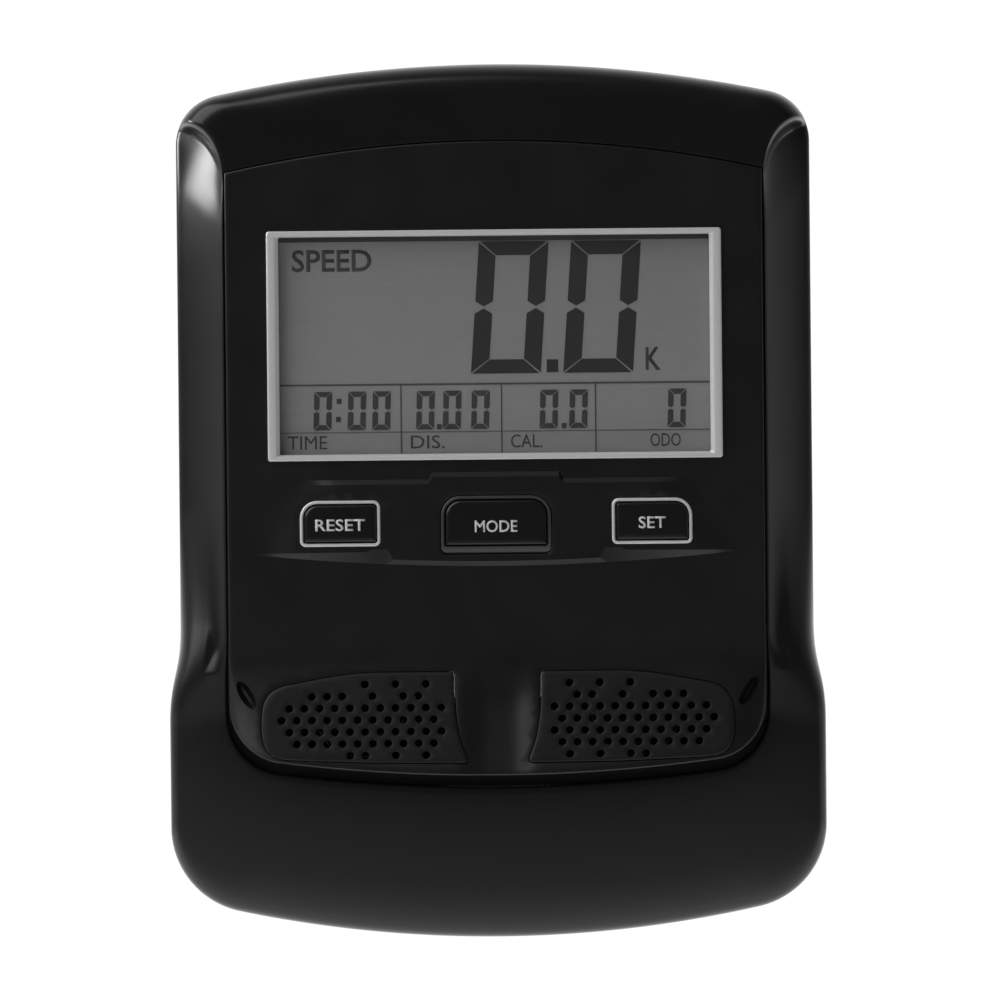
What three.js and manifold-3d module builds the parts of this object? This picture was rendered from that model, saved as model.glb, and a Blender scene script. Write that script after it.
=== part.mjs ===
// Display console of an elliptical trainer: an arched two-part housing round a proud fascia, with a liquid-crystal
// display, three push keys, two perforated sound grilles over small speakers, and a hinged battery door at the back.
//
// Everything is modelled in face coordinates, in millimetres: x to the user's right, y up the face, z out of the face
// towards the user, with z = 0 on the parting plane of the two housings. The last lines turn the whole console into
// the part's own frame: +Z up, the face looking along -Y, and the origin at the centre of the rear mounting pad.

import * as THREE from 'three';
import { mergeVertices } from 'three/addons/utils/BufferGeometryUtils.js';
import Module from 'manifold-3d';

const wasm = await Module();
wasm.setup();

// ---------------------------------------------------------------- driving dimensions

const WALL = 2.4;
const GAP = 0.15; // clearance between neighbours that meet face to face
const SEAM = 0.4; // shadow line round the fascia

// Outline of the housing
const HALF_HEIGHT = 106.6;
const HALF_WIDTH = 76.9;
const CHIN_HALF_WIDTH = 80.1;
const TOP_ARC = 326;
const CHIN_ARC = 300;
const TOP_CORNER = 14;
const CHIN_CORNER = 21;
const FLARE_TOP = -30;
const FLARE_BOTTOM = -54;
const DIAGONAL = 0.56; // angle on the top corner where the side bevel begins

// Opening in the housing that the fascia fills
const OPENING_HALF_WIDTH = 65.8;
const OPENING_TOP = 88;
const OPENING_TOP_ARC = 300;
const OPENING_BOTTOM = -69.5;
const OPENING_BOTTOM_ARC = 412;
const OPENING_CORNER = 14;
const LEDGE_DEPTH = 5; // how far the fascia's ledge lies below the edge of the opening
const LEDGE_WIDTH = 5;
const LEDGE_THICKNESS = 2.2;

// Heights of the housing's front above the parting plane
const EDGE_HEIGHT = 16.5;
const CHIN_EDGE_HEIGHT = 12.5;
const TOP_RIM = 10;
const SIDE_RIM = 3.5;
const SHOULDER_RIM = 9;
const CHIN_RIM = 6;

// Fascia
const FACE = 17.2;
const DECK = 18.1;
const PANEL_BOTTOM = -66.6;
const LIP_TOP = -36;
const LIP_BLEND = 5;
const LIP_SLOPE = 0.24;
const LIP_ROLL = 3.2;
const LIP_END = 52;
const FACE_BACK = FACE - WALL;

// Display
const SCREEN_Y = 38.3;
const SCREEN = { width: 105, height: 53 };
const BEZEL = { width: 110.8, height: 56 };
const GLASS = { width: 109, height: 57, thickness: 2 };
const BOARD = { half: 57, top: 78, bottom: -20, back: 7.4, front: 9 };

// Push keys: centre, size of the cap, and radius of each top corner
const KEYS = [
  { name: 'reset', x: -38, y: -5, width: 18, height: 9.6, left: 3.4, right: 0.9 },
  { name: 'mode', x: 0, y: -5.6, width: 25.2, height: 12.6, left: 4, right: 4 },
  { name: 'set', x: 38, y: -5, width: 18, height: 9.6, left: 0.9, right: 3.4 },
];
const KEY_TOP = 19;
const KEY_TRAVEL = 0.6;
const RING_WIDTH = 0.8;

// Sound grilles and speakers, on the sloping lip
const GRILLE = { thickness: 1.6, proud: 0.5 };
const HOLE = { radius: 0.95, x: 13.8, pitch: 3.7, shift: 1.85, y: -44.2, row: 2.87 };
const HOLE_ROWS = [[1, 3, 5], [1, 2, 4, 6, 7, 8], range(0, 10), range(0, 10), range(0, 10), range(0, 9), [1, 3, 5, 6]];
const SPEAKER = { x: 33.6, y: -50.7 };

// Rear housing, mounting pad and battery bay
const BACK = -26;
const PAD = { y: -22, width: 84, height: 60, corner: 6, face: -30 };
const INSERT = { x: 32, y: 20, radius: 3.5, bore: 2.1, length: 9.5 };
const CABLE_INLET = { y: -42, width: 26, height: 14, corner: 3 };
const BAY = { y: 34, width: 60, height: 32, floor: -8.4 };
const DOOR = { width: 66, height: 37, thickness: 2, corner: 2, hook: 22 };
const CELL = { radius: 7.1, length: 49.5, z: -16, spacing: 15.2 };
const CASE_SCREWS = [[48, 93, 13.6], [62.6, 12, 10.6], [50, -84, 10.8]]; // x, y, height of the front boss
const BOARD_SCREWS = [[53, 73], [53, -15]];
const JACKS = [['sensor_jack', -20], ['pulse_jack', 0], ['audio_jack', 20]];
const JACK_Y = -72;

// ---------------------------------------------------------------- materials

const finish = (color, roughness, metalness = 0) => new THREE.MeshStandardMaterial({ color, roughness, metalness });
const shellPlastic = finish(0x17181a, 0.32);
const fasciaPlastic = finish(0x121213, 0.42);
const keyPlastic = finish(0x0c0c0d, 0.3);
const grillePlastic = finish(0x18191a, 0.5);
const silver = finish(0xb4b6b8, 0.28, 0.9);
const clear = new THREE.MeshStandardMaterial({ color: 0xffffff, roughness: 0.05, transparent: true, opacity: 0.3 });
const lcd = finish(0x6b6c6c, 0.35);
const rubber = finish(0x202020, 0.8);
const board = finish(0x14512c, 0.5);
const chip = finish(0x101010, 0.5);
const steel = finish(0xb9bbbe, 0.3, 0.95);
const brass = finish(0xc39a4a, 0.35, 0.95);
const nylon = finish(0xd8d6cc, 0.5);
const paper = finish(0x2a2622, 0.9);
const cellSleeve = finish(0x2f5d8c, 0.4);
const wireSleeve = finish(0x8a1f1c, 0.55);

// ---------------------------------------------------------------- helpers

function range(first, last) {
  return Array.from({ length: last - first + 1 }, (_, i) => first + i);
}

function smooth(share) {
  const s = Math.min(1, Math.max(0, share));
  return s * s * (3 - 2 * s);
}

function mix(a, b, share) {
  return a + (b - a) * share;
}

/** A closed three.js geometry as a solid, turned the right way out. */
function solidOf(geometry) {
  const bare = geometry.clone();
  bare.deleteAttribute('normal');
  bare.deleteAttribute('uv');
  const merged = mergeVertices(bare, 1e-4);
  const triVerts = new Uint32Array(merged.index.array);
  const vertProperties = new Float32Array(merged.attributes.position.array);
  const made = new wasm.Manifold(new wasm.Mesh({ numProp: 3, vertProperties, triVerts }));
  if (made.volume() > 0) return made;
  return new wasm.Manifold(new wasm.Mesh({ numProp: 3, vertProperties, triVerts: triVerts.reverse() }));
}

function geometryOf(solid) {
  const { vertProperties, triVerts, numProp } = solid.getMesh();
  const count = vertProperties.length / numProp;
  const positions = new Float32Array(count * 3);
  for (let i = 0; i < count; i++) positions.set(vertProperties.subarray(i * numProp, i * numProp + 3), i * 3);
  const geometry = new THREE.BufferGeometry();
  geometry.setAttribute('position', new THREE.BufferAttribute(positions, 3));
  geometry.setIndex(new THREE.BufferAttribute(triVerts, 1));
  geometry.computeVertexNormals();
  return geometry;
}

/** A named piece of the console from a solid. */
function piece(name, solid, material) {
  const mesh = new THREE.Mesh(geometryOf(solid), material);
  mesh.name = name;
  return mesh;
}

/** A flat outline made solid between two heights. */
function plate(shape, low, high, curveSegments = 3) {
  const geometry = new THREE.ExtrudeGeometry(shape, { depth: high - low, bevelEnabled: false, curveSegments });
  return solidOf(geometry.translate(0, 0, low));
}

/** A round rod along z. */
function rod(radius, low, high, x = 0, y = 0, sides = 12) {
  const geometry = new THREE.CylinderGeometry(radius, radius, high - low, sides).rotateX(Math.PI / 2);
  return solidOf(geometry.translate(x, y, (low + high) / 2));
}

/** A box from its lowest and highest corners. */
function block(low, high) {
  const size = high.map((value, axis) => value - low[axis]);
  const middle = high.map((value, axis) => (value + low[axis]) / 2);
  return solidOf(new THREE.BoxGeometry(...size).translate(...middle));
}

/** A turned solid about the z axis, from [radius, z] points. */
function turned(profile, sides = 16) {
  const points = profile.map(([radius, z]) => new THREE.Vector2(radius, z));
  return solidOf(new THREE.LatheGeometry(points, sides).rotateX(Math.PI / 2));
}

function moved(solid, x, y, z = 0) {
  return solid.translate([x, y, z]);
}

function joined(solids) {
  return solids.reduce((whole, solid) => whole.add(solid));
}

function cut(solid, tools) {
  return tools.reduce((left, tool) => left.subtract(tool), solid);
}

/** A rectangle whose top corners may differ from each other and from the two bottom corners. */
function cornered(x, y, width, height, topLeft, topRight, bottom) {
  const left = x - width / 2;
  const right = x + width / 2;
  const low = y - height / 2;
  const high = y + height / 2;
  const shape = new THREE.Shape();
  shape.absarc(right - topRight, high - topRight, topRight, 0, Math.PI / 2);
  shape.absarc(left + topLeft, high - topLeft, topLeft, Math.PI / 2, Math.PI);
  shape.absarc(left + bottom, low + bottom, bottom, Math.PI, 1.5 * Math.PI);
  shape.absarc(right - bottom, low + bottom, bottom, 1.5 * Math.PI, 2 * Math.PI);
  return shape;
}

function roundedRect(x, y, width, height, radius) {
  return cornered(x, y, width, height, radius, radius, radius);
}

/** A picture-frame outline: a rounded rectangle with a smaller one taken out. */
function frameShape(y, outer, inner, outerRadius, innerRadius) {
  const shape = roundedRect(0, y, outer.width, outer.height, outerRadius);
  shape.holes.push(roundedRect(0, y, inner.width, inner.height, innerRadius));
  return shape;
}

/** Joins each point of one section to the same point of the next, round a closed ring of closed sections. */
function ringLoft(sections) {
  const count = sections[0].length;
  const positions = sections.flat(2);
  const index = [];
  sections.forEach((_, s) => {
    const here = s * count;
    const next = ((s + 1) % sections.length) * count;
    for (let k = 0; k < count; k++) {
      const l = (k + 1) % count;
      index.push(here + k, next + k, next + l, here + k, next + l, here + l);
    }
  });
  return indexed(positions, index);
}

/** Joins a stack of loops, each with the same number of points, and closes both ends to their centres. */
function stackLoft(loops) {
  const count = loops[0].length;
  const positions = loops.flat(2);
  const index = [];
  for (let s = 0; s + 1 < loops.length; s++) {
    for (let k = 0; k < count; k++) {
      const l = (k + 1) % count;
      const [a, b, c, d] = [s * count + k, s * count + l, (s + 1) * count + k, (s + 1) * count + l];
      index.push(a, b, d, a, d, c);
    }
  }
  const first = positions.length / 3;
  positions.push(0, 0, loops[0][0][2], 0, 0, loops.at(-1)[0][2]);
  const start = (loops.length - 1) * count;
  for (let k = 0; k < count; k++) {
    const l = (k + 1) % count;
    index.push(first, l, k, first + 1, start + k, start + l);
  }
  return indexed(positions, index);
}

function indexed(positions, index) {
  const geometry = new THREE.BufferGeometry();
  geometry.setAttribute('position', new THREE.Float32BufferAttribute(positions, 3));
  geometry.setIndex(index);
  return solidOf(geometry);
}

/** A closed block between two surfaces over one grid of columns and rows of [x, y, low, high] points. */
function gridBlock(columns) {
  const rows = columns[0].length;
  const loop = [];
  columns.forEach((_, i) => loop.push([i, 0]));
  range(1, rows - 1).forEach((j) => loop.push([columns.length - 1, j]));
  range(1, columns.length - 1).forEach((i) => loop.push([columns.length - 1 - i, rows - 1]));
  range(1, rows - 2).forEach((j) => loop.push([0, rows - 1 - j]));
  const at = (i, j, upper) => (i * rows + j) * 2 + upper;
  const positions = columns.flatMap((column) => column.flatMap(([x, y, low, high]) => [x, y, low, x, y, high]));
  const index = [];
  for (let i = 0; i + 1 < columns.length; i++) {
    for (let j = 0; j + 1 < rows; j++) {
      const upper = [at(i, j, 1), at(i + 1, j, 1), at(i + 1, j + 1, 1), at(i, j + 1, 1)];
      const lower = [at(i, j, 0), at(i + 1, j, 0), at(i + 1, j + 1, 0), at(i, j + 1, 0)];
      index.push(upper[0], upper[1], upper[2], upper[0], upper[2], upper[3]);
      index.push(lower[0], lower[2], lower[1], lower[0], lower[3], lower[2]);
    }
  }
  loop.forEach(([i, j], k) => {
    const [m, n] = loop[(k + 1) % loop.length];
    index.push(at(i, j, 0), at(m, n, 0), at(m, n, 1), at(i, j, 0), at(m, n, 1), at(i, j, 1));
  });
  return indexed(positions, index);
}

// ---------------------------------------------------------------- outlines

/** Height of the centre of a corner that runs from a straight side into an arched edge above it. */
function cornerCentre(side, crown, arc, radius) {
  return crown - arc + Math.sqrt((arc - radius) ** 2 - (side - radius) ** 2);
}

/** Six half outlines, from the top centre to the bottom centre of the right half: housing and opening, in three runs. */
function halfOutlines() {
  const [top, side, chin, openTop, openSide, openChin] = range(0, 5).map(() => new THREE.Path());
  const quarter = Math.PI / 2;

  const topX = HALF_WIDTH - TOP_CORNER;
  const topY = cornerCentre(HALF_WIDTH, HALF_HEIGHT, TOP_ARC, TOP_CORNER);
  const topTurn = Math.atan2(topY - HALF_HEIGHT + TOP_ARC, topX);
  top.absarc(0, HALF_HEIGHT - TOP_ARC, TOP_ARC, quarter, topTurn, true);
  top.absarc(topX, topY, TOP_CORNER, topTurn, DIAGONAL, true);

  const middle = (FLARE_TOP + FLARE_BOTTOM) / 2;
  side.absarc(topX, topY, TOP_CORNER, DIAGONAL, 0, true);
  side.lineTo(HALF_WIDTH, FLARE_TOP);
  side.bezierCurveTo(HALF_WIDTH, middle, CHIN_HALF_WIDTH, middle, CHIN_HALF_WIDTH, FLARE_BOTTOM);

  const chinX = CHIN_HALF_WIDTH - CHIN_CORNER;
  const chinY = -cornerCentre(CHIN_HALF_WIDTH, HALF_HEIGHT, CHIN_ARC, CHIN_CORNER);
  const chinTurn = Math.atan2(chinY + HALF_HEIGHT - CHIN_ARC, chinX);
  chin.moveTo(CHIN_HALF_WIDTH, FLARE_BOTTOM);
  chin.lineTo(CHIN_HALF_WIDTH, chinY);
  chin.absarc(chinX, chinY, CHIN_CORNER, 0, chinTurn, true);
  chin.absarc(0, CHIN_ARC - HALF_HEIGHT, CHIN_ARC, chinTurn, -quarter, true);

  const openTurn = Math.acos(OPENING_HALF_WIDTH / OPENING_TOP_ARC);
  const openTopY = OPENING_TOP - OPENING_TOP_ARC * (1 - Math.sin(openTurn));
  openTop.absarc(0, OPENING_TOP - OPENING_TOP_ARC, OPENING_TOP_ARC, quarter, openTurn, true);

  const openX = OPENING_HALF_WIDTH - OPENING_CORNER;
  const openY = -cornerCentre(OPENING_HALF_WIDTH, -OPENING_BOTTOM, OPENING_BOTTOM_ARC, OPENING_CORNER);
  const openChinTurn = Math.atan2(openY - OPENING_BOTTOM - OPENING_BOTTOM_ARC, openX);
  openSide.moveTo(OPENING_HALF_WIDTH, openTopY);
  openSide.lineTo(OPENING_HALF_WIDTH, openY);
  openChin.absarc(openX, openY, OPENING_CORNER, 0, openChinTurn, true);
  openChin.absarc(0, OPENING_BOTTOM + OPENING_BOTTOM_ARC, OPENING_BOTTOM_ARC, openChinTurn, -quarter, true);

  return { top, side, chin, openTop, openSide, openChin };
}

/** Height of the edge of the opening at a height y on the face. */
function edgeHeight(y) {
  return mix(EDGE_HEIGHT, CHIN_EDGE_HEIGHT, smooth((FLARE_TOP - y) / (FLARE_TOP - FLARE_BOTTOM)));
}

/** Height of the outer rim of a side bevel: it climbs to the cap above and to the shoulder below. */
function sideRim(y) {
  const cap = mix(SIDE_RIM, TOP_RIM, smooth((y - 66) / 27));
  return cap + (SHOULDER_RIM - SIDE_RIM) * smooth((FLARE_TOP + 2 - y) / (FLARE_TOP - FLARE_BOTTOM));
}

/** Where the housing's front is cut into sections: one half, from the top centre to the bottom centre. */
function halfStations(topCount, sideCount, chinCount) {
  const runs = halfOutlines();
  const stations = [];
  const add = (outer, inner, rim, full, bend) => {
    stations.push({ outer, inner, rim, full, bend, edge: edgeHeight(inner.y) });
  };
  range(0, topCount).forEach((i) => {
    const u = i / topCount;
    add(runs.top.getPointAt(u), runs.openTop.getPointAt(u), TOP_RIM, 1, smooth((u - 0.7) / 0.3));
  });
  range(0, sideCount).forEach((i) => {
    const u = mix(0.006, 0.994, 0.5 - 0.5 * Math.cos((Math.PI * i) / sideCount));
    const outer = runs.side.getPointAt(u);
    add(outer, runs.openSide.getPointAt(u), sideRim(outer.y), 0, smooth(1 - u / 0.12));
  });
  range(0, chinCount).forEach((i) => {
    const u = i / chinCount;
    add(runs.chin.getPointAt(u), runs.openChin.getPointAt(u), mix(SHOULDER_RIM, CHIN_RIM, smooth(u / 0.5)), 1, 0);
  });
  return stations;
}

/** The other half by mirroring, without the two stations on the centre line. */
function mirroredRound(stations) {
  const flip = (point) => new THREE.Vector2(-point.x, point.y);
  const left = stations.slice(1, -1).reverse();
  return [...stations, ...left.map((s) => ({ ...s, outer: flip(s.outer), inner: flip(s.inner), left: true }))];
}

// ---------------------------------------------------------------- front housing

/** Share of the way from rim height to edge height at a share t of the way from the opening to the outer edge. */
function frontProfile(t, full) {
  return full ? (1 - t ** 3) ** 0.62 : 1 - t;
}

/** One closed section of the front housing, from the edge of the opening over the front and back under it. */
function frontSection({ outer, inner, rim, edge, full, bend, left }) {
  const control = outer.clone().add(inner).multiplyScalar(0.5);
  control.x += (left ? 3.5 : -3.5) * bend;
  control.y += 5.2 * bend;
  const plan = (t) => {
    const x = (1 - t) ** 2 * inner.x + 2 * t * (1 - t) * control.x + t * t * outer.x;
    const y = (1 - t) ** 2 * inner.y + 2 * t * (1 - t) * control.y + t * t * outer.y;
    return [x, y];
  };
  const inward = inner.clone().sub(outer).normalize();
  const shift = (point, distance) => [point.x + inward.x * distance, point.y + inward.y * distance];
  const ledge = edge - LEDGE_DEPTH;
  const skin = [0, 0.35, 0.65, 0.85, 0.95, 1].map((t) => [...plan(t), mix(rim, edge, frontProfile(t, full))]);
  const middle = mix(rim, edge, frontProfile(0.55, full)) - WALL * 1.3;
  return [
    ...skin,
    [outer.x, outer.y, 0],
    [...shift(outer, WALL), 0],
    [...shift(outer, WALL), rim - WALL],
    [...plan(0.55), middle],
    [...shift(inner, -1.6), ledge - LEDGE_THICKNESS],
    [...shift(inner, LEDGE_WIDTH), ledge - LEDGE_THICKNESS],
    [...shift(inner, LEDGE_WIDTH), ledge],
    [inner.x, inner.y, ledge],
  ];
}

/** Each case screw position on both sides, with the height of its boss in the front housing. */
const caseScrews = CASE_SCREWS.flatMap(([x, y, height]) => [[-x, y, height], [x, y, height]]);

function frontHousing(stations) {
  const shell = ringLoft(stations.map(frontSection));
  const bosses = caseScrews.map(([x, y, height]) => rod(4.2, 0, height, x, y));
  const pilots = caseScrews.map(([x, y]) => rod(1.6, -1, 8, x, y, 8));
  return cut(joined([shell, ...bosses]), pilots);
}

// ---------------------------------------------------------------- fascia

/** Lower edge of the fascia at a distance x from the centre line, drawn in by an inset. */
function panelBottom(x, inset) {
  const half = OPENING_HALF_WIDTH - SEAM;
  const cornerX = half - OPENING_CORNER;
  const cornerY = -cornerCentre(half, -PANEL_BOTTOM, OPENING_BOTTOM_ARC, OPENING_CORNER);
  const reach = Math.min(Math.abs(x), half - inset);
  if (reach > cornerX) {
    const radius = OPENING_CORNER - inset;
    return cornerY - Math.sqrt(Math.max(0, radius ** 2 - (reach - cornerX) ** 2));
  }
  const radius = OPENING_BOTTOM_ARC - inset;
  return PANEL_BOTTOM + OPENING_BOTTOM_ARC - Math.sqrt(radius ** 2 - reach ** 2);
}

function panelTop(x, inset) {
  const radius = OPENING_TOP_ARC - SEAM - inset;
  return OPENING_TOP - OPENING_TOP_ARC + Math.sqrt(radius ** 2 - x ** 2);
}

/** How far the sloping lip stands above the flat face at a height y. */
function lipRise(y) {
  const below = Math.max(0, LIP_TOP - y);
  return LIP_SLOPE * (below < LIP_BLEND ? below ** 2 / (2 * LIP_BLEND) : below - LIP_BLEND / 2);
}

/** Height of the fascia's front: flat, then the lip, which falls away at its two ends and rolls under at the bottom. */
function faceHeight(x, y) {
  const end = Math.max(0, (Math.abs(x) - LIP_END) / (OPENING_HALF_WIDTH - SEAM - LIP_END));
  const roll = Math.max(0, LIP_ROLL - (y - panelBottom(x, 0)));
  const dropped = LIP_ROLL - Math.sqrt(Math.max(0, LIP_ROLL ** 2 - roll ** 2));
  const rise = lipRise(y) * Math.sqrt(Math.max(0, 1 - end ** 2));
  return FACE + rise - Math.min(dropped, rise + 0.6);
}

/** The fascia's outline filled from a floor up to its front, drawn in by an inset and lowered by a drop. */
function panelBlock(inset, drop, floor) {
  const half = OPENING_HALF_WIDTH - SEAM - inset;
  const shares = [0, 0.2, 0.4, 0.6, 0.79, 0.86, 0.92, 0.96, 0.99, 1];
  const across = [...shares.slice(1).reverse().map((share) => -share), ...shares];
  const down = [0, 0.17, 0.4, 0.65, 0.85, 0.94, 0.98, 1];
  return gridBlock(
    across.map((share) => {
      const x = share * half;
      const bottom = panelBottom(x, inset);
      const lip = down.map((part) => mix(LIP_TOP, bottom, part));
      const heights = [panelTop(x, inset), FLARE_TOP, ...lip].reverse();
      return heights.map((y) => [x, y, floor(y), faceHeight(x, y) - drop]);
    }),
  );
}

/** Raised deck round the keys: its upper edge steps up over the middle key and its lower edge is an arc. */
function deckShape() {
  const arc = 547;
  const shape = new THREE.Shape();
  const turn = Math.asin(60 / arc);
  shape.moveTo(-60, -12);
  shape.absarc(0, arc - 15.3, arc, 1.5 * Math.PI - turn, 1.5 * Math.PI + turn);
  shape.lineTo(60, 0);
  shape.lineTo(46, 5.6);
  shape.lineTo(16.4, 5.6);
  shape.lineTo(15.4, 7.3);
  shape.lineTo(-15.4, 7.3);
  shape.lineTo(-16.4, 5.6);
  shape.lineTo(-46, 5.6);
  shape.lineTo(-60, 0);
  return shape;
}

/** Outline of a key, grown all round. */
function keyShape(key, grow) {
  const { x, y, width, height, left, right } = key;
  const bottom = Math.max(0.5, 0.6 + grow);
  return cornered(x, y, width + 2 * grow, height + 2 * grow, left + grow, right + grow, bottom);
}

/** Outline of one sound grille on the right of the centre line, or mirrored to the left. */
function grilleShape(side, grow) {
  const at = (x, y) => [side * x, y];
  const shape = new THREE.Shape();
  shape.moveTo(...at(10.6 - grow, -41.3 + grow));
  shape.lineTo(...at(30, -41.3 + grow));
  shape.bezierCurveTo(...at(38, -41.5 + grow), ...at(44, -43 + grow), ...at(51, -44.2 + grow));
  shape.bezierCurveTo(...at(57 + grow, -45.4 + grow), ...at(57.6 + grow, -49), ...at(57.6 + grow, -54));
  shape.bezierCurveTo(...at(57.6 + grow, -60), ...at(56 + grow, -62.3 - grow), ...at(50, -62.6 - grow));
  shape.lineTo(...at(30, -63.4 - grow));
  shape.lineTo(...at(6.8 - grow, -63.6 - grow));
  shape.bezierCurveTo(...at(9.6 - grow, -58), ...at(10.6 - grow, -52), ...at(10.6 - grow, -41.3 + grow));
  return shape;
}

/** A cutter or body between two heights above the sloping plane of the lip, from an outline seen from the front. */
function alongLip(shape, low, high, steps) {
  const [a, b] = [low, high].map((height) => height / Math.cos(Math.atan(LIP_SLOPE)));
  const flat = plate(shape, a, b, steps);
  return flat.transform([1, 0, 0, 0, 0, 1, -LIP_SLOPE, 0, 0, 0, 1, 0, 0, 0, lipPlane(0), 1]);
}

/** Height of the lip's plane at a height y on the face. */
function lipPlane(y) {
  return FACE + LIP_SLOPE * (LIP_TOP - y - LIP_BLEND / 2);
}

/** Clip that reaches past the ledge and hooks under it. */
function clipHook(side, y) {
  const inner = OPENING_HALF_WIDTH - LEDGE_WIDTH;
  const low = EDGE_HEIGHT - LEDGE_DEPTH - LEDGE_THICKNESS;
  const span = (a, b) => [Math.min(side * a, side * b), Math.max(side * a, side * b)];
  const [legLow, legHigh] = span(inner - 2.2, inner - 0.5);
  const [barbLow, barbHigh] = span(inner - 2.2, inner + 1.4);
  const leg = block([legLow, y - 4, low - 1.2], [legHigh, y + 4, FACE_BACK + 0.7]);
  const barb = block([barbLow, y - 4, low - 1.2], [barbHigh, y + 4, low - 0.2]);
  return leg.add(barb);
}

const boardScrews = BOARD_SCREWS.flatMap(([x, y]) => [[-x, y], [x, y]]);

function fasciaPanel() {
  const ledge = (y) => edgeHeight(y) - LEDGE_DEPTH + 0.5;
  const skin = panelBlock(0, 0, ledge).subtract(panelBlock(WALL, WALL, () => 0));
  const bosses = boardScrews.map(([x, y]) => rod(2.8, BOARD.front + GAP, FACE_BACK + 0.7, x, y, 10));
  const hooks = [clipHook(-1, 45), clipHook(1, 45), clipHook(-1, -22), clipHook(1, -22)];
  const channel = new THREE.Shape().setFromPoints(
    [[-6, -43.5], [6, -43.5], [5.2, -64], [-5.2, -64]].map(([x, y]) => new THREE.Vector2(x, y)),
  );
  const whole = joined([skin, plate(deckShape(), FACE - 1, DECK, 8), ...bosses, ...hooks]);
  return cut(whole, [
    plate(roundedRect(0, SCREEN_Y, 107, 54.6, 1), 10, 30),
    ...KEYS.map((key) => plate(keyShape(key, RING_WIDTH + 0.1), FACE - 0.8, 30)),
    ...KEYS.map((key) => plate(keyShape(key, 0.05), 10, 30)),
    ...[-1, 1].map((side) => alongLip(grilleShape(side, 0.2), GRILLE.proud - GRILLE.thickness - 0.1, 9, 4)),
    ...[-1, 1].map((side) => alongLip(grilleShape(side, -1.6), -9, 9, 4)),
    ...[-1, 1].map((side) => endSlot(side)),
    alongLip(channel, -1.2, 9, 1),
    ...boardScrews.map(([x, y]) => rod(1.25, 8, 14, x, y, 8)),
  ]);
}

/** Leaf-shaped sound slot at each end of the lip. */
function endSlot(side) {
  const shape = new THREE.Shape();
  shape.absellipse(side * 61.6, -46.6, 1.5, 3.9, 0, 2 * Math.PI, false, -side * 0.55);
  return plate(shape, 10, 30, 12);
}

// ---------------------------------------------------------------- display

function lcdBezel() {
  const flange = plate(frameShape(SCREEN_Y, BEZEL, SCREEN, 1.4, 0.6), FACE + 0.1, FACE + 1.3);
  const collar = plate(frameShape(SCREEN_Y, { width: 106.6, height: 54.2 }, SCREEN, 0.8, 0.6), 15.2, FACE + 0.5);
  return flange.add(collar);
}

function lcdLens() {
  return plate(roundedRect(0, SCREEN_Y, SCREEN.width - 0.3, SCREEN.height - 0.3, 0.5), 15.3, 16.8);
}

function lcdGlass() {
  const top = FACE_BACK - 0.3;
  return plate(roundedRect(0, SCREEN_Y, GLASS.width, GLASS.height, 0.5), top - GLASS.thickness, top, 1);
}

function lcdHolder() {
  const inner = { width: GLASS.width + 0.4, height: GLASS.height + 0.4 };
  const outer = { width: GLASS.width + 3.4, height: GLASS.height + 3.4 };
  return plate(frameShape(SCREEN_Y, outer, inner, 1, 0.5), BOARD.front + GAP, FACE_BACK - GAP, 1);
}

/** Rubber connector between the edge of the display glass and the board. */
function zebraStrip(side) {
  const y = SCREEN_Y + side * (GLASS.height / 2 - 1.6);
  const top = FACE_BACK - 0.3 - GLASS.thickness;
  return block([-52, y - 1, BOARD.front + GAP], [52, y + 1, top - GAP]);
}

function mainBoard() {
  const outline = roundedRect(0, (BOARD.top + BOARD.bottom) / 2, 2 * BOARD.half, BOARD.top - BOARD.bottom, 3);
  const holes = boardScrews.map(([x, y]) => rod(1.5, 0, 20, x, y, 8));
  return cut(plate(outline, BOARD.back, BOARD.front), holes);
}

function processor() {
  return block([12, 30, BOARD.back - 1.7], [26, 44, BOARD.back - GAP]);
}

// ---------------------------------------------------------------- keys

function keyCap(key) {
  const cap = plate(keyShape(key, -0.3), FACE_BACK - 0.6, KEY_TOP);
  const flange = plate(keyShape(key, 1.1), FACE_BACK - 1.1, FACE_BACK - 0.12);
  return cap.add(flange);
}

function keyRing(key) {
  const shape = keyShape(key, RING_WIDTH);
  shape.holes.push(keyShape(key, 0));
  return plate(shape, FACE - 0.6, DECK + 0.5);
}

/** Surface-mounted switch with a well that its plunger sinks into. */
function keySwitch(key) {
  const low = BOARD.front + GAP;
  const body = block([key.x - 3, key.y - 3, low], [key.x + 3, key.y + 3, low + 3.4]);
  const well = block([key.x - 1.95, key.y - 1.95, low + 1.2], [key.x + 1.95, key.y + 1.95, low + 4]);
  return body.subtract(well);
}

function keyPlunger(key) {
  const low = BOARD.front + GAP;
  return rod(1.7, low + 1.3 + KEY_TRAVEL, FACE_BACK - 1.25, key.x, key.y, 10);
}

// ---------------------------------------------------------------- sound

function grille(side) {
  const shape = grilleShape(side, 0);
  HOLE_ROWS.forEach((columns, row) => {
    columns.forEach((column) => {
      const x = side * (HOLE.x + column * HOLE.pitch + (row % 2) * HOLE.shift);
      const y = HOLE.y - row * HOLE.row;
      const rim = range(0, 5).map((k) => {
        const angle = (k * Math.PI) / 3;
        return new THREE.Vector2(x + HOLE.radius * Math.cos(angle), y + HOLE.radius * Math.sin(angle));
      });
      shape.holes.push(new THREE.Path().setFromPoints(rim));
    });
  });
  return alongLip(shape, GRILLE.proud - GRILLE.thickness, GRILLE.proud, 4);
}

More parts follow.
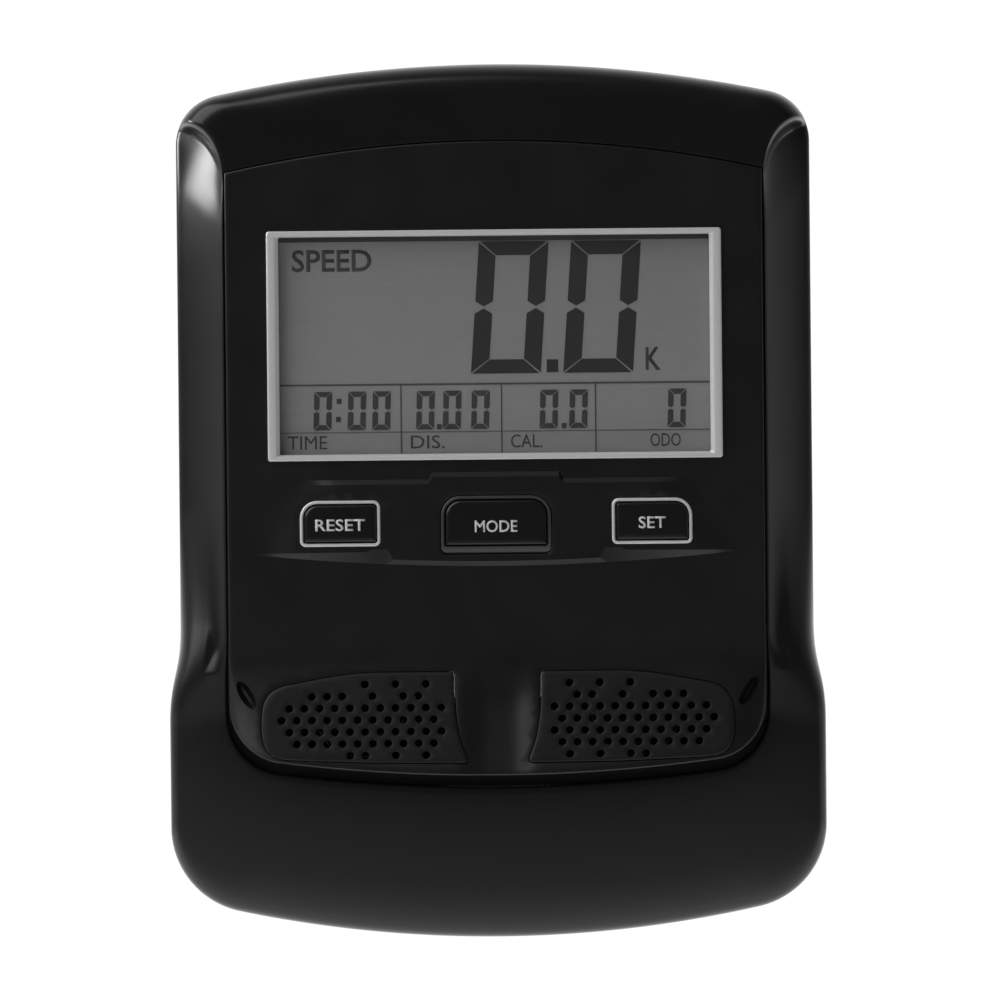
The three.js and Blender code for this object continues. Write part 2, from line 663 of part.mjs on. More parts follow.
/** Parts of one speaker, each turned about the speaker's own axis, with its front at z = 0. */
const SPEAKER_PARTS = [
  ['speaker_gasket', rubber, [[8.8, -1.1], [10.6, -1.1], [10.6, -0.1], [8.8, -0.1], [8.8, -1.1]]],
  ['speaker_basket', steel, [
    [8.8, -1.2], [10.8, -1.2], [10.8, -2], [9.6, -2.4], [7.6, -5.6], [5, -5.6], [5, -5], [7, -5], [8.8, -2.2], [8.8, -1.2],
  ]],
  ['speaker_magnet', chip, [
    [0, -9.4], [7.2, -9.4], [7.2, -5.75], [4.2, -5.75], [4.2, -8], [3, -8], [3, -5.2], [0, -5.2], [0, -9.4],
  ]],
  ['speaker_cone', paper, [
    [0, -3.9], [3, -3.9], [3.4, -4.2], [3.4, -6.8], [3.8, -6.8], [3.8, -4.4], [8.3, -2], [8.3, -1.5], [3.4, -3.4],
    [0, -3.1], [0, -3.9],
  ]],
];

function speakerGroup(side) {
  const group = new THREE.Group();
  const name = side < 0 ? 'left' : 'right';
  group.add(...SPEAKER_PARTS.map(([part, material, profile]) => piece(`${part}_${name}`, turned(profile), material)));
  const tilt = Math.atan(LIP_SLOPE);
  const back = (WALL + 0.35) / Math.cos(tilt);
  group.rotation.x = -tilt;
  group.position.set(side * SPEAKER.x, SPEAKER.y - back * Math.sin(tilt), lipPlane(SPEAKER.y) - back * Math.cos(tilt));
  return group;
}

/** Insulated lead laid through a few points, thick enough for its pair of wires. */
function lead(points) {
  const curve = new THREE.CatmullRomCurve3(points.map((point) => new THREE.Vector3(...point)));
  const section = new THREE.Shape().absarc(0, 0, 0.8, 0, 2 * Math.PI);
  return solidOf(new THREE.ExtrudeGeometry(section, { extrudePath: curve, steps: 12, curveSegments: 4 }));
}

function speakerLead(side) {
  const x = side * SPEAKER.x;
  return lead([[x, -40.5, 9.6], [x, -37, 6], [x - side * 4, -28, 4], [x - side * 8, -20, 4.4], [x - side * 9, -15, 6.4]]);
}

// ---------------------------------------------------------------- rear housing

/** Loop of the housing's outline drawn in by scaling, at one height. */
function rearLoop(outline, inset, z) {
  const [sx, sy] = [1 - inset / CHIN_HALF_WIDTH, 1 - inset / HALF_HEIGHT];
  return outline.map((point) => [point.x * sx, point.y * sy, z]);
}

/** The rear bowl as a filled body, its wall drawn in by an inset. */
function rearBody(outline, inset, top) {
  const levels = [[0, top], [0.6, -7], [2.6, -15], [7, -21.5], [11, -24.6], [16, BACK]];
  return stackLoft(levels.map(([drawn, z], i) => rearLoop(outline, drawn + inset, i ? z + inset : z)));
}

function mirroredPairs(x, y) {
  return [[-x, y], [x, y], [-x, -y], [x, -y]];
}

const insertCentres = mirroredPairs(INSERT.x, INSERT.y).map(([x, y]) => [x, PAD.y + y]);

function rearHousing(outline) {
  const body = rearBody(outline, 0, -0.3);
  const shell = body.subtract(rearBody(outline, WALL, 5));
  const posts = caseScrews.map(([x, y]) => rod(4.6, -60, -0.3, x, y).intersect(body));
  const pad = plate(roundedRect(0, PAD.y, PAD.width, PAD.height, PAD.corner), PAD.face, BACK + 1);
  const bosses = insertCentres.map(([x, y]) => rod(6, BACK, -17.6, x, y));
  const flange = plate(roundedRect(0, BAY.y, 72, 45, 3), BACK, -21);
  const bay = plate(roundedRect(0, BAY.y, BAY.width + 4, BAY.height + 4, 2), BACK, BAY.floor + 1.8);
  const hookPockets = [-1, 1].map((side) => {
    return block([side * DOOR.hook - 4.6, 50, -24.8], [side * DOOR.hook + 4.6, 55.6, -21.8]);
  });
  const grip = rod(6, -40, BACK + 1.3, 0, BAY.y - DOOR.height / 2 - 0.5, 16);
  return cut(joined([shell, ...posts, pad, ...bosses, flange, bay]), [
    ...caseScrews.map(([x, y]) => rod(3.4, -60, -7, x, y)),
    ...caseScrews.map(([x, y]) => rod(1.8, -8, 5, x, y, 8)),
    ...insertCentres.map(([x, y]) => rod(INSERT.radius + 0.1, -40, PAD.face + INSERT.length + 0.4, x, y)),
    plate(roundedRect(0, CABLE_INLET.y, CABLE_INLET.width, CABLE_INLET.height, CABLE_INLET.corner), -40, -15),
    plate(roundedRect(0, BAY.y, DOOR.width + 0.6, DOOR.height + 0.6, DOOR.corner), -40, BACK + 2.2),
    plate(roundedRect(0, BAY.y, BAY.width, BAY.height, 1.5), -40, BAY.floor),
    ...hookPockets,
    grip,
    ...JACKS.map(([, x]) => rod(4.1, -40, -20, x, JACK_Y)),
  ]);
}

/** Lid with two tongues that hook under the housing at the top and a snap tab with a finger ridge at the bottom. */
function batteryDoor() {
  const top = BAY.y + DOOR.height / 2;
  const bottom = BAY.y - DOOR.height / 2;
  const lid = plate(roundedRect(0, BAY.y, DOOR.width, DOOR.height, DOOR.corner), BACK, BACK + DOOR.thickness);
  const tongues = [-1, 1].map((side) => {
    return block([side * DOOR.hook - 4, top - 3, BACK + 1.6], [side * DOOR.hook + 4, top + 2.5, BACK + 2.8]);
  });
  const slits = [-1, 1].map((side) => {
    return block([side * 8 - 0.4, bottom - 1, BACK - 1], [side * 8 + 0.4, bottom + 5, BACK + 3]);
  });
  const ridge = block([-6, bottom + 0.1, BACK - 0.9], [6, bottom + 1.3, BACK + 1]);
  return cut(joined([lid, ...tongues, ridge]), slits);
}

function mountInsert(x, y) {
  const body = rod(INSERT.radius, PAD.face + 0.1, PAD.face + INSERT.length, x, y);
  return body.subtract(rod(INSERT.bore, PAD.face - 1, PAD.face + INSERT.length + 1, x, y));
}

/** Round socket with its nut outside the housing and its body inside. */
function jack(x) {
  const inside = BACK + WALL + GAP;
  const parts = [
    block([x - 5.5, JACK_Y - 5.5, inside], [x + 5.5, JACK_Y + 5.5, inside + 11]),
    rod(3.9, BACK - 1.6, inside + 1, x, JACK_Y),
    rod(5.4, BACK - 1.4, BACK - GAP, x, JACK_Y, 6),
  ];
  return joined(parts).subtract(rod(1.8, BACK - 5, inside + 9, x, JACK_Y));
}

// ---------------------------------------------------------------- power

/** Dry cell lying along x, its button at the end that side points to. */
function cell(side, y) {
  const half = CELL.length / 2;
  const profile = [[0, -half], [CELL.radius, -half], [CELL.radius, half - 1], [2.7, half - 1], [2.7, half], [0, half]];
  return moved(turned(profile, 18).rotate([0, side * 90, 0]), -side * 2.2, y, CELL.z);
}

/** Coil spring against the flat end of a cell. */
function cellSpring(side, y) {
  class Coil extends THREE.Curve {
    getPoint(t, target = new THREE.Vector3()) {
      const angle = t * 4 * 2 * Math.PI;
      const radius = mix(4.6, 2.6, t);
      const x = -side * (29.1 - 1.7 * t);
      return target.set(x, y + radius * Math.cos(angle), CELL.z + radius * Math.sin(angle));
    }
  }
  const wire = new THREE.Shape().absarc(0, 0, 0.18, 0, 2 * Math.PI);
  return solidOf(new THREE.ExtrudeGeometry(wire, { extrudePath: new Coil(), steps: 40, curveSegments: 2 }));
}

/** Sprung contact plate against the button of a cell. */
function cellContact(side, y) {
  const inner = 23.1;
  const x = [side * inner, side * (inner + 0.4)].sort((a, b) => a - b);
  const foot = [side * inner, side * (BAY.width / 2 - GAP)].sort((a, b) => a - b);
  const face = block([x[0], y - 5, CELL.z - 5], [x[1], y + 5, CELL.z + 6.6]);
  const base = block([foot[0], y - 5, CELL.z + 6.6], [foot[1], y + 5, CELL.z + 7]);
  return face.add(base);
}

// ---------------------------------------------------------------- screws

/** Pan-head screw whose head rests at z = 0 and whose shank points along +z. */
function panScrew(headRadius, headHeight, shankRadius, length) {
  const profile = [
    [0, -headHeight], [headRadius * 0.7, -headHeight], [headRadius, -headHeight * 0.5], [headRadius, 0],
    [shankRadius, 0], [shankRadius, length - shankRadius], [0, length],
  ];
  const slot = headRadius * 0.62;
  const depth = headHeight * 0.55;
  const cross = [
    block([-slot, -0.25, -headHeight - 1], [slot, 0.25, depth - headHeight]),
    block([-0.25, -slot, -headHeight - 1], [0.25, slot, depth - headHeight]),
  ];
  return cut(turned(profile, 8), cross);
}

// ---------------------------------------------------------------- assembly

const stations = mirroredRound(halfStations(8, 11, 11));
const outline = stations.map((station) => station.outer);
const console3d = new THREE.Group();

console3d.add(
  piece('front_housing', frontHousing(stations), shellPlastic),
  piece('fascia_panel', fasciaPanel(), fasciaPlastic),
  piece('lcd_bezel', lcdBezel(), silver),
  piece('lcd_lens', lcdLens(), clear),
  piece('lcd_glass', lcdGlass(), lcd),
  piece('lcd_holder', lcdHolder(), nylon),
  piece('zebra_strip_upper', zebraStrip(1), rubber),
  piece('zebra_strip_lower', zebraStrip(-1), rubber),
  piece('main_board', mainBoard(), board),
  piece('processor', processor(), chip),
);

KEYS.forEach((key) => {
  console3d.add(
    piece(`${key.name}_button`, keyCap(key), keyPlastic),
    piece(`${key.name}_ring`, keyRing(key), key.name === 'mode' ? fasciaPlastic : silver),
    piece(`${key.name}_switch`, keySwitch(key), chip),
    piece(`${key.name}_plunger`, keyPlunger(key), nylon),
  );
});

[[-1, 'left'], [1, 'right']].forEach(([side, name]) => {
  console3d.add(
    piece(`grille_${name}`, grille(side), grillePlastic),
    speakerGroup(side),
    piece(`speaker_lead_${name}`, speakerLead(side), wireSleeve),
  );
});

console3d.add(
  piece('rear_housing', rearHousing(outline), shellPlastic),
  piece('battery_door', batteryDoor(), shellPlastic),
  piece('battery_lead', lead([[34, 41, -12], [37, 42, -6], [39, 46, 1], [38, 52, 5], [36, 56, 6.3]]), wireSleeve),
);
JACKS.forEach(([name, x]) => console3d.add(piece(name, jack(x), chip)));

[-1, 1].forEach((side, i) => {
  const y = BAY.y + (side * CELL.spacing) / 2;
  console3d.add(
    piece(`battery_${i + 1}`, cell(side, y), cellSleeve),
    piece(`battery_spring_${i + 1}`, cellSpring(side, y), steel),
    piece(`battery_contact_${i + 1}`, cellContact(side, y), steel),
  );
});

caseScrews.forEach(([x, y], i) => {
  console3d.add(piece(`case_screw_${i + 1}`, moved(panScrew(2.8, 2, 1.45, 12.4), x, y, -7.1), steel));
});
boardScrews.forEach(([x, y], i) => {
  const screw = moved(panScrew(2.3, 1.4, 1.1, 6), x, y, BOARD.back - 0.1);
  console3d.add(piece(`board_screw_${i + 1}`, screw, steel));
});
insertCentres.forEach(([x, y], i) => console3d.add(piece(`mount_insert_${i + 1}`, mountInsert(x, y), brass)));

// Into the part's frame: +Z up, the face looking along -Y, the origin at the centre of the mounting pad.
console3d.rotation.x = Math.PI / 2;
console3d.position.set(0, PAD.face, -PAD.y);

export default console3d;
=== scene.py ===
"""Looks of an elliptical trainer's display console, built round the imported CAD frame.

Shapes are worked out in face coordinates, in millimetres: x to the user's right, y up the face, and z out of
the face, with z = 0 on the parting plane of the two housings. place() turns a point into the row
frame, in metres.
"""

import math

import bmesh
import bpy
import numpy as np
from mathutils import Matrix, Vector
from mathutils.geometry import delaunay_2d_cdt


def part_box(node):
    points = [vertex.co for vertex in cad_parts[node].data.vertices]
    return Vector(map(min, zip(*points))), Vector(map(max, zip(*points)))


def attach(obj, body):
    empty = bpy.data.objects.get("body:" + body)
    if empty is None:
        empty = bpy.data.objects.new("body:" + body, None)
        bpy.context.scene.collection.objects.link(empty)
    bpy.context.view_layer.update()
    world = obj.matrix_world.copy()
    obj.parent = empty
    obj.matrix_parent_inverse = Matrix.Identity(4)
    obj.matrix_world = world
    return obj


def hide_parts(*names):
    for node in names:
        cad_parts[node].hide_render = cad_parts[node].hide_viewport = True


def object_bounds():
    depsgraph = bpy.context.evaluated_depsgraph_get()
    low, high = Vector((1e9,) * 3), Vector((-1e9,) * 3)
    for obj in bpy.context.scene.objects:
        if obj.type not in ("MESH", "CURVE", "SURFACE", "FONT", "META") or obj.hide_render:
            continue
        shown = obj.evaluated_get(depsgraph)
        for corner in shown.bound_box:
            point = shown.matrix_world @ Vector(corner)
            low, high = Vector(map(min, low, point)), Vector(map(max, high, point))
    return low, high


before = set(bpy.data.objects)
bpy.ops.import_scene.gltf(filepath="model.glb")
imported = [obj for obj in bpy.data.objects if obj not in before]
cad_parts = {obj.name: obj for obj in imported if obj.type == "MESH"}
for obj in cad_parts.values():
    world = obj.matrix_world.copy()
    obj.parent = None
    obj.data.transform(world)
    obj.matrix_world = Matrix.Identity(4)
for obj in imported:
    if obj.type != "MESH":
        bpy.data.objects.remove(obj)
cad_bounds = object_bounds()

# ---- coordinates and sizes

MM = 0.001
case_low, case_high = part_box("front_housing")
PARTING = case_high.y
MIDDLE = (case_low.z + case_high.z) / 2


def place(x, y, z):
    """A point in face coordinates as a point in the row frame."""
    return Vector((x * MM, PARTING - z * MM, MIDDLE + y * MM))


def face_box(node):
    """Lowest and highest corner of a CAD node in face coordinates."""
    low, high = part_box(node)
    lowest = Vector((low.x, low.z - MIDDLE, PARTING - high.y)) / MM
    highest = Vector((high.x, high.z - MIDDLE, PARTING - low.y)) / MM
    return lowest, highest


def centre_size(node):
    low, high = face_box(node)
    return (low + high) / 2, high - low


# Housing outline
HALF_HEIGHT = (case_high.z - case_low.z) / 2 / MM
CHIN_HALF_WIDTH = case_high.x / MM
HALF_WIDTH = CHIN_HALF_WIDTH - 2.7
TOP_ARC = 326
CHIN_ARC = 300
TOP_CORNER = 12.5
CHIN_CORNER = 21
FLARE_TOP = -30
FLARE_BOTTOM = -54
DIAGONAL = 0.56
DIAGONAL_EDGE = 0.022
CAP_BEND_START = 0.7
SIDE_BEND_END = 0.12

# Opening and fascia
SEAM = 0.4
TOP_SEAM = 0.15
PANEL_HALF_WIDTH = face_box("fascia_panel")[1].x
OPENING_HALF_WIDTH = PANEL_HALF_WIDTH + SEAM
OPENING_TOP = 88
OPENING_ARC = 300
OPENING_BOTTOM = -69.5
OPENING_BOTTOM_ARC = 412
OPENING_CORNER = 14
WALL = 2.4
LEDGE_DEPTH = 5
LEDGE_WIDTH = 5
LEDGE_THICKNESS = 2.2

# Heights above the parting plane
EDGE_HEIGHT = 16.5
CHIN_EDGE_HEIGHT = 12.5
TOP_RIM = 10
SIDE_RIM = 3.5
SHOULDER_RIM = 9
CHIN_RIM = 6
FACE = 17.2
DECK_LIFT = 1.0
PANEL_BOTTOM = -66.6
LIP_TOP = -36
LIP_BLEND = 5
LIP_SLOPE = 0.24
LIP_ROLL = 0.8
LIP_END = 52
LIP_STRETCH = math.sqrt(1 + LIP_SLOPE**2)
TROUGH_DEPTH = 1.2
TROUGH_HALF_WIDTH = 10
TROUGH_TOP = -38
GRILLE_PROUD = 0.5
GRILLE_THICKNESS = 1.6

# Rear housing
BACK = face_box("battery_door")[0].z + 0.9
PAD_FACE = face_box("rear_housing")[0].z
PAD_Y = -MIDDLE / MM
PAD_SIZE = (84, 60)
BAY_FRAME = (72, 45)
BAY_BOX = (64, 36)
CELL_SPACE = (60, 32)
DOOR_OPENING = (66.6, 37.6)
BAY_FRAME_TOP = -21
BAY_BOX_TOP = -6.6
CELL_SPACE_TOP = -8.4
DOOR_THICKNESS = 2
HOOK_X = 22
HOOK_SEAT_Y = 52.8
HOOK_SEAT_SIZE = (9.2, 5.6)
HOOK_SEAT_HEIGHTS = (-24.8, -21.8)
INLET_Y = -42
INLET_SIZE = (26, 14)
BOSS_TOP = -17.6
SCREW_SEAT = -7
INSERT_HOLE_DEPTH = 9.9
SCREW_TUBE_RADIUS = 4.2
SCREW_BORE_RADIUS = 3.4
BOSS_RADIUS = 6
INSERT_HOLE_RADIUS = 3.6
JACK_HOLE_RADIUS = 4.1
NUT_RADIUS = 5.4
CASE_SCREWS = [f"case_screw_{k}" for k in range(1, 7)]
INSERTS = [f"mount_insert_{k}" for k in range(1, 5)]
JACKS = [f"{name}_jack" for name in ("sensor", "pulse", "audio")]

# ---- small maths


def smooth(share):
    s = min(1.0, max(0.0, share))
    return s * s * (3 - 2 * s)


def mix(a, b, share):
    return a + (b - a) * share


def arc(x, y, radius, start, end, step=0.9):
    """Points along an arc, about one every step."""
    count = max(2, round(abs(end - start) * radius / step))
    angles = [mix(start, end, k / count) for k in range(count + 1)]
    return [(x + radius * math.cos(a), y + radius * math.sin(a)) for a in angles]


def circle(x, y, radius, sides):
    """Points round a circle, anticlockwise from its right side."""
    angles = [2 * math.pi * k / sides for k in range(sides)]
    return [(x + radius * math.cos(a), y + radius * math.sin(a)) for a in angles]


def at_height(loop, z):
    return [(x, y, z) for x, y in loop]


def line(start, end, step=1.5):
    count = max(1, round(math.dist(start, end) / step))
    return [(mix(start[0], end[0], k / count), mix(start[1], end[1], k / count)) for k in range(count + 1)]


def bezier(p, q, r, s, count=24):
    points = []
    for k in range(count + 1):
        t = k / count
        weights = ((1 - t) ** 3, 3 * t * (1 - t) ** 2, 3 * t * t * (1 - t), t**3)
        points.append(weighted(weights, (p, q, r, s)))
    return points


def weighted(weights, corners):
    """Weighted sum of points on the face."""
    return tuple(sum(w * c[i] for w, c in zip(weights, corners)) for i in (0, 1))


def chain(*runs):
    """Runs of points joined end to end, without the points that they share."""
    points = []
    for point in (p for run in runs for p in run):
        if not points or math.dist(points[-1], point) > 1e-4:
            points.append(point)
    return points


def ring(*runs):
    """A closed loop from runs of points."""
    points = chain(*runs)
    return points[:-1] if math.dist(points[0], points[-1]) < 1e-4 else points


class Track:
    """A path that gives the point at a share of its length."""

    def __init__(self, points):
        self.points = np.array(points)
        steps = np.linalg.norm(np.diff(self.points, axis=0), axis=1)
        self.shares = np.concatenate([[0], np.cumsum(steps)]) / steps.sum()

    def at(self, share):
        return tuple(np.interp(share, self.shares, self.points[:, i]) for i in (0, 1))


def offset(loop, distance):
    """A closed loop moved to its left by a distance. On a loop that runs anticlockwise that is inwards."""
    points = np.array(loop)
    along = np.roll(points, -1, axis=0) - np.roll(points, 1, axis=0)
    along /= np.linalg.norm(along, axis=1)[:, None]
    return [tuple(p) for p in points + distance * np.stack([-along[:, 1], along[:, 0]], axis=1)]


def anticlockwise(loop):
    area = sum(a[0] * b[1] - b[0] * a[1] for a, b in zip(loop, loop[1:] + loop[:1]))
    return loop if area > 0 else loop[::-1]


def inside(points, loop):
    """Which of the points lie in a closed loop."""
    points = np.array(points)
    found = np.zeros(len(points), bool)
    for (x0, y0), (x1, y1) in zip(loop, loop[1:] + loop[:1]):
        if y0 == y1:
            continue
        crosses = (points[:, 1] >= min(y0, y1)) & (points[:, 1] < max(y0, y1))
        at = x0 + (points[:, 1] - y0) * (x1 - x0) / (y1 - y0)
        found ^= crosses & (points[:, 0] < at)
    return found


# ---- mesh making


def finish_mesh(mesh, angle):
    """Turns the faces out, shades them smooth, and keeps edges above the angle sharp."""
    solid = bmesh.new()
    solid.from_mesh(mesh)
    bmesh.ops.remove_doubles(solid, verts=solid.verts, dist=2e-6)
    bmesh.ops.dissolve_degenerate(solid, edges=solid.edges, dist=1e-6)
    bmesh.ops.recalc_face_normals(solid, faces=solid.faces)
    solid.to_mesh(mesh)
    solid.free()
    mesh.shade_smooth()
    mesh.set_sharp_from_angle(angle=math.radians(angle))


def add_object(name, data):
    made = bpy.data.objects.new(name, data)
    bpy.context.scene.collection.objects.link(made)
    return made


def raw(solid, name="tool", angle=30):
    """An object from points and faces: a piece that is not dressed yet, or a tool for a cut or a join."""
    points, faces = solid
    mesh = bpy.data.meshes.new(name)
    mesh.from_pydata([place(*point) for point in points], [], faces)
    finish_mesh(mesh, angle)
    return add_object(name, mesh)


def piece(name, solid, material, node=None, body="case", angle=32):
    """A finished piece from points and faces, riding on a body and standing for a CAD node."""
    return dress(raw(solid, name, angle), material, node, body)


def fill_slot(made, material):
    made.data.materials.clear()
    made.data.materials.append(material)


def dress(made, material, node=None, body="case"):
    """Gives an object its material, and ties it to a body, to the CAD node that it replaces and to a slot."""
    fill_slot(made, material)
    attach(made, body)
    if node:
        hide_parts(node)
    return made


def loops_to_mesh(loops, closed=False):
    """Points and faces of a stack of loops with equal counts: capped at both ends, or closed on itself."""
    count = len(loops[0])
    points = [point for loop in loops for point in loop]
    faces = []
    for level in range(len(loops) if closed else len(loops) - 1):
        here, there = level * count, (level + 1) % len(loops) * count
        for k in range(count):
            following = (k + 1) % count
            faces.append((here + k, here + following, there + following, there + k))
    if not closed:
        for loop, start in ((loops[0], 0), (loops[-1], (len(loops) - 1) * count)):
            middle = tuple(sum(p[i] for p in loop) / count for i in range(3))
            points.append(middle)
            faces += [(len(points) - 1, start + k, start + (k + 1) % count) for k in range(count)]
    return points, faces


def turned(profile, x, y, sides=40):
    """Loops of a solid turned about a line along z, from (radius, z) points."""
    return [at_height(circle(x, y, radius, sides), z) for radius, z in profile]


def cornered(centre, size, radii, grow=0, steps=8):
    """A rectangle with one corner radius, or with one for each corner from the top right anticlockwise."""
    x, y = centre
    half_width, half_height = size[0] / 2 + grow, size[1] / 2 + grow
    loop = []
    for k, radius in enumerate(radii if isinstance(radii, tuple) else (radii,) * 4):
        r = max(0.05, radius + grow)
        cx = x + (half_width - r) * (1 if k in (0, 3) else -1)
        cy = y + (half_height - r) * (1 if k in (0, 1) else -1)
        turn = k * math.pi / 2
        corner = [turn + math.pi / 2 * i / steps for i in range(steps + 1)]
        loop += [(cx + r * math.cos(a), cy + r * math.sin(a)) for a in corner]
    return loop


class Relief:
    """A closed shell between two surfaces over an outline with holes. Its upper rims can be rounded."""

    def __init__(self, outline, holes, top, thickness):
        self.outline = anticlockwise(outline)
        self.holes = [anticlockwise(hole)[::-1] for hole in holes]
        self.top, self.thickness = top, thickness
        self.points, self.edges, self.drops, self.floors = [], [], [], []

    def add(self, loop, drop=0.0, floor=None):
        """Adds a loop of fixed edges: drop lowers the upper surface there, and floor sets the lower one."""
        first, count = len(self.points), len(loop)
        self.points += loop
        self.edges += [(first + k, first + (k + 1) % count) for k in range(count)]
        self.drops += [drop] * count if isinstance(drop, (int, float)) else drop
        self.floors += [floor(x, y) if floor else None for x, y in loop]

    def round_rim(self, loop, fillet, floor=None):
        for share in (0, 0.12, 0.4, 1):
            drop = fillet - math.sqrt(fillet**2 - (fillet * (1 - share)) ** 2)
            self.add(offset(loop, fillet * share), drop, floor)

    def fill(self, spacing, clear, keep_off=(), slope=None):
        """Adds a staggered grid of points, clear of the loops and of a slope between two of them."""
        edge = np.array(self.points)
        low, high = edge.min(0), edge.max(0)
        rows = np.arange(low[1], high[1], spacing * 0.87)
        grid = [
            (x, y)
            for j, y in enumerate(rows)
            for x in np.arange(low[0] + (j % 2) * spacing / 2, high[0], spacing)
        ]
        keep = inside(grid, self.outline)
        for hole in [*self.holes, *keep_off]:
            keep &= ~inside(grid, hole)
        if slope:
            keep &= ~inside(grid, slope[0]) | inside(grid, slope[1])
        for (x, y), good in zip(grid, keep):
            if good and np.min((edge[:, 0] - x) ** 2 + (edge[:, 1] - y) ** 2) > clear**2:
                self.points.append((x, y))
                self.drops.append(0.0)
                self.floors.append(None)

    def mesh(self, lift=None):
        """Points and faces of the shell. lift(points) raises the upper surface at each point."""
        found = delaunay_2d_cdt([Vector(p) for p in self.points], self.edges, [], 0, 1e-5)
        flat, triangles, source = found[0], found[2], found[3]
        flat = [(p.x, p.y) for p in flat]
        centres = [tuple(np.mean([flat[i] for i in t], axis=0)) for t in triangles]
        keep = inside(centres, self.outline)
        for hole in self.holes:
            keep &= ~inside(centres, hole)
        triangles = [t for t, good in zip(triangles, keep) if good]
        raised = lift(flat) if lift else [0.0] * len(flat)
        tops, floors = [], []
        for (x, y), origin, more in zip(flat, source, raised):
            level = self.top(x, y)
            drop = self.drops[origin[0]] if origin else 0.0
            floor = self.floors[origin[0]] if origin else None
            tops.append((x, y, level + more - drop))
            floors.append((x, y, level - self.thickness if floor is None else floor))
        count = len(flat)
        sides = [edge for a, b, c in triangles for edge in ((a, b), (b, c), (c, a))]
        known = set(sides)
        walls = [(a, b) for a, b in sides if (b, a) not in known]
        faces = [tuple(t) for t in triangles]
        faces += [(c + count, b + count, a + count) for a, b, c in triangles]
        faces += [(b, a, a + count, b + count) for a, b in walls]
        used = sorted({i for f in faces for i in f})
        index = {old: new for new, old in enumerate(used)}
        points = tops + floors
        return [points[i] for i in used], [tuple(index[i] for i in f) for f in faces]


# ---- materials


class Nodes:
    """A material's node tree, with short calls for the nodes that this script uses."""

    def __init__(self, name):
        self.material = bpy.data.materials.new(name)
        self.material.use_nodes = True
        self.tree = self.material.node_tree
        self.shader = self.tree.nodes["Principled BSDF"]
        self.coordinates = self.add("ShaderNodeTexCoord").outputs["Object"]

    def add(self, kind, **values):
        node = self.tree.nodes.new(kind)
        for key, value in values.items():
            if hasattr(node, key):
                setattr(node, key, value)
            else:
                node.inputs[key.replace("_", " ")].default_value = value
        return node

    def link(self, output, socket):
        self.tree.links.new(output, socket)

    def noise(self, scale, detail=3.0, stretch=None):
        """Noise whose features are about 1/scale metres across."""
        node = self.add("ShaderNodeTexNoise", Scale=scale, Detail=detail)
        vector = self.coordinates
        if stretch:
            mapping = self.add("ShaderNodeMapping")
            mapping.inputs["Scale"].default_value = stretch
            self.link(vector, mapping.inputs["Vector"])
            vector = mapping.outputs["Vector"]
        self.link(vector, node.inputs["Vector"])
        return node.outputs["Fac"]

    def ramp(self, factor, low, high, start=0.3, end=0.7):
        """A colour that goes from low to high as the factor rises."""
        node = self.add("ShaderNodeValToRGB")
        for stop, colour, at in zip(node.color_ramp.elements, (low, high), (start, end)):
            stop.position = at
            stop.color = (*colour, 1)
        self.link(factor, node.inputs["Fac"])
        return node.outputs["Color"]

    def span(self, factor, low, high, start=0.3, end=0.7, **values):
        """A number that goes from low to high as the factor rises from start to end."""
        node = self.add("ShaderNodeMapRange", From_Min=start, From_Max=end, To_Min=low, To_Max=high, **values)
        self.link(factor, node.inputs["Value"])
        return node.outputs["Result"]

    def axis(self, name):
        """One of the three coordinates, in metres."""
        node = self.add("ShaderNodeSeparateXYZ")
        self.link(self.coordinates, node.inputs["Vector"])
        return node.outputs[name]

    def surface(self, **values):
        """Sets the shader's inputs, or links node outputs to them. Base_Color stands for the base colour."""
        for key, value in values.items():
            socket = self.shader.inputs[key.replace("_", " ")]
            if isinstance(value, bpy.types.NodeSocket):
                self.link(value, socket)
            else:
                socket.default_value = value

    def bump(self, height, depth):
        """A bump of a depth in millimetres."""
        node = self.add("ShaderNodeBump", Strength=1.0, Distance=depth * MM)
        self.link(height, node.inputs["Height"])
        self.link(node.outputs["Normal"], self.shader.inputs["Normal"])


def tint(colour, factor):
    return tuple(min(1.0, c * factor) for c in colour)


def plastic(name, colour, roughness, grain=0.004, mottle=0.1, specular=0.5):
    """Moulded plastic: fine mould grain, a faint cloudiness in colour and in gloss."""
    nodes = Nodes(name)
    clouds = nodes.noise(38, 4)
    nodes.surface(
        Base_Color=nodes.ramp(clouds, tint(colour, 1 - mottle), tint(colour, 1 + mottle)),
        Roughness=nodes.span(nodes.noise(90, 5), roughness * 0.9, roughness * 1.1),
        Specular_IOR_Level=specular,
    )
    nodes.bump(nodes.noise(2600, 2), grain)
    return nodes.material


def grained(name, grain, colours, roughness, relief, stops=(0.3, 0.7), **values):
    """A surface whose colour and roughness follow one noise, with bumps from the same noise or from another.

    grain and relief give the scale and detail of a noise, and relief also the depth of the bumps.
    """
    nodes = Nodes(name)
    marks = nodes.noise(*grain)
    base = nodes.ramp(marks, *colours, *stops)
    nodes.surface(Base_Color=base, Roughness=nodes.span(marks, *roughness), **values)
    if relief:
        *bumps, depth = relief
        nodes.bump(nodes.noise(*bumps) if bumps else marks, depth)
    return nodes.material


def metal(name, colour, roughness, brushed=(1, 1, 1)):
    """Metal, with brush marks along one direction if it has any."""
    colours = (tint(colour, 0.9), tint(colour, 1.06))
    roughness = (roughness * 0.8, roughness * 1.25)
    return grained(name, (900, 4, brushed), colours, roughness, (0.003,), Metallic=1.0)


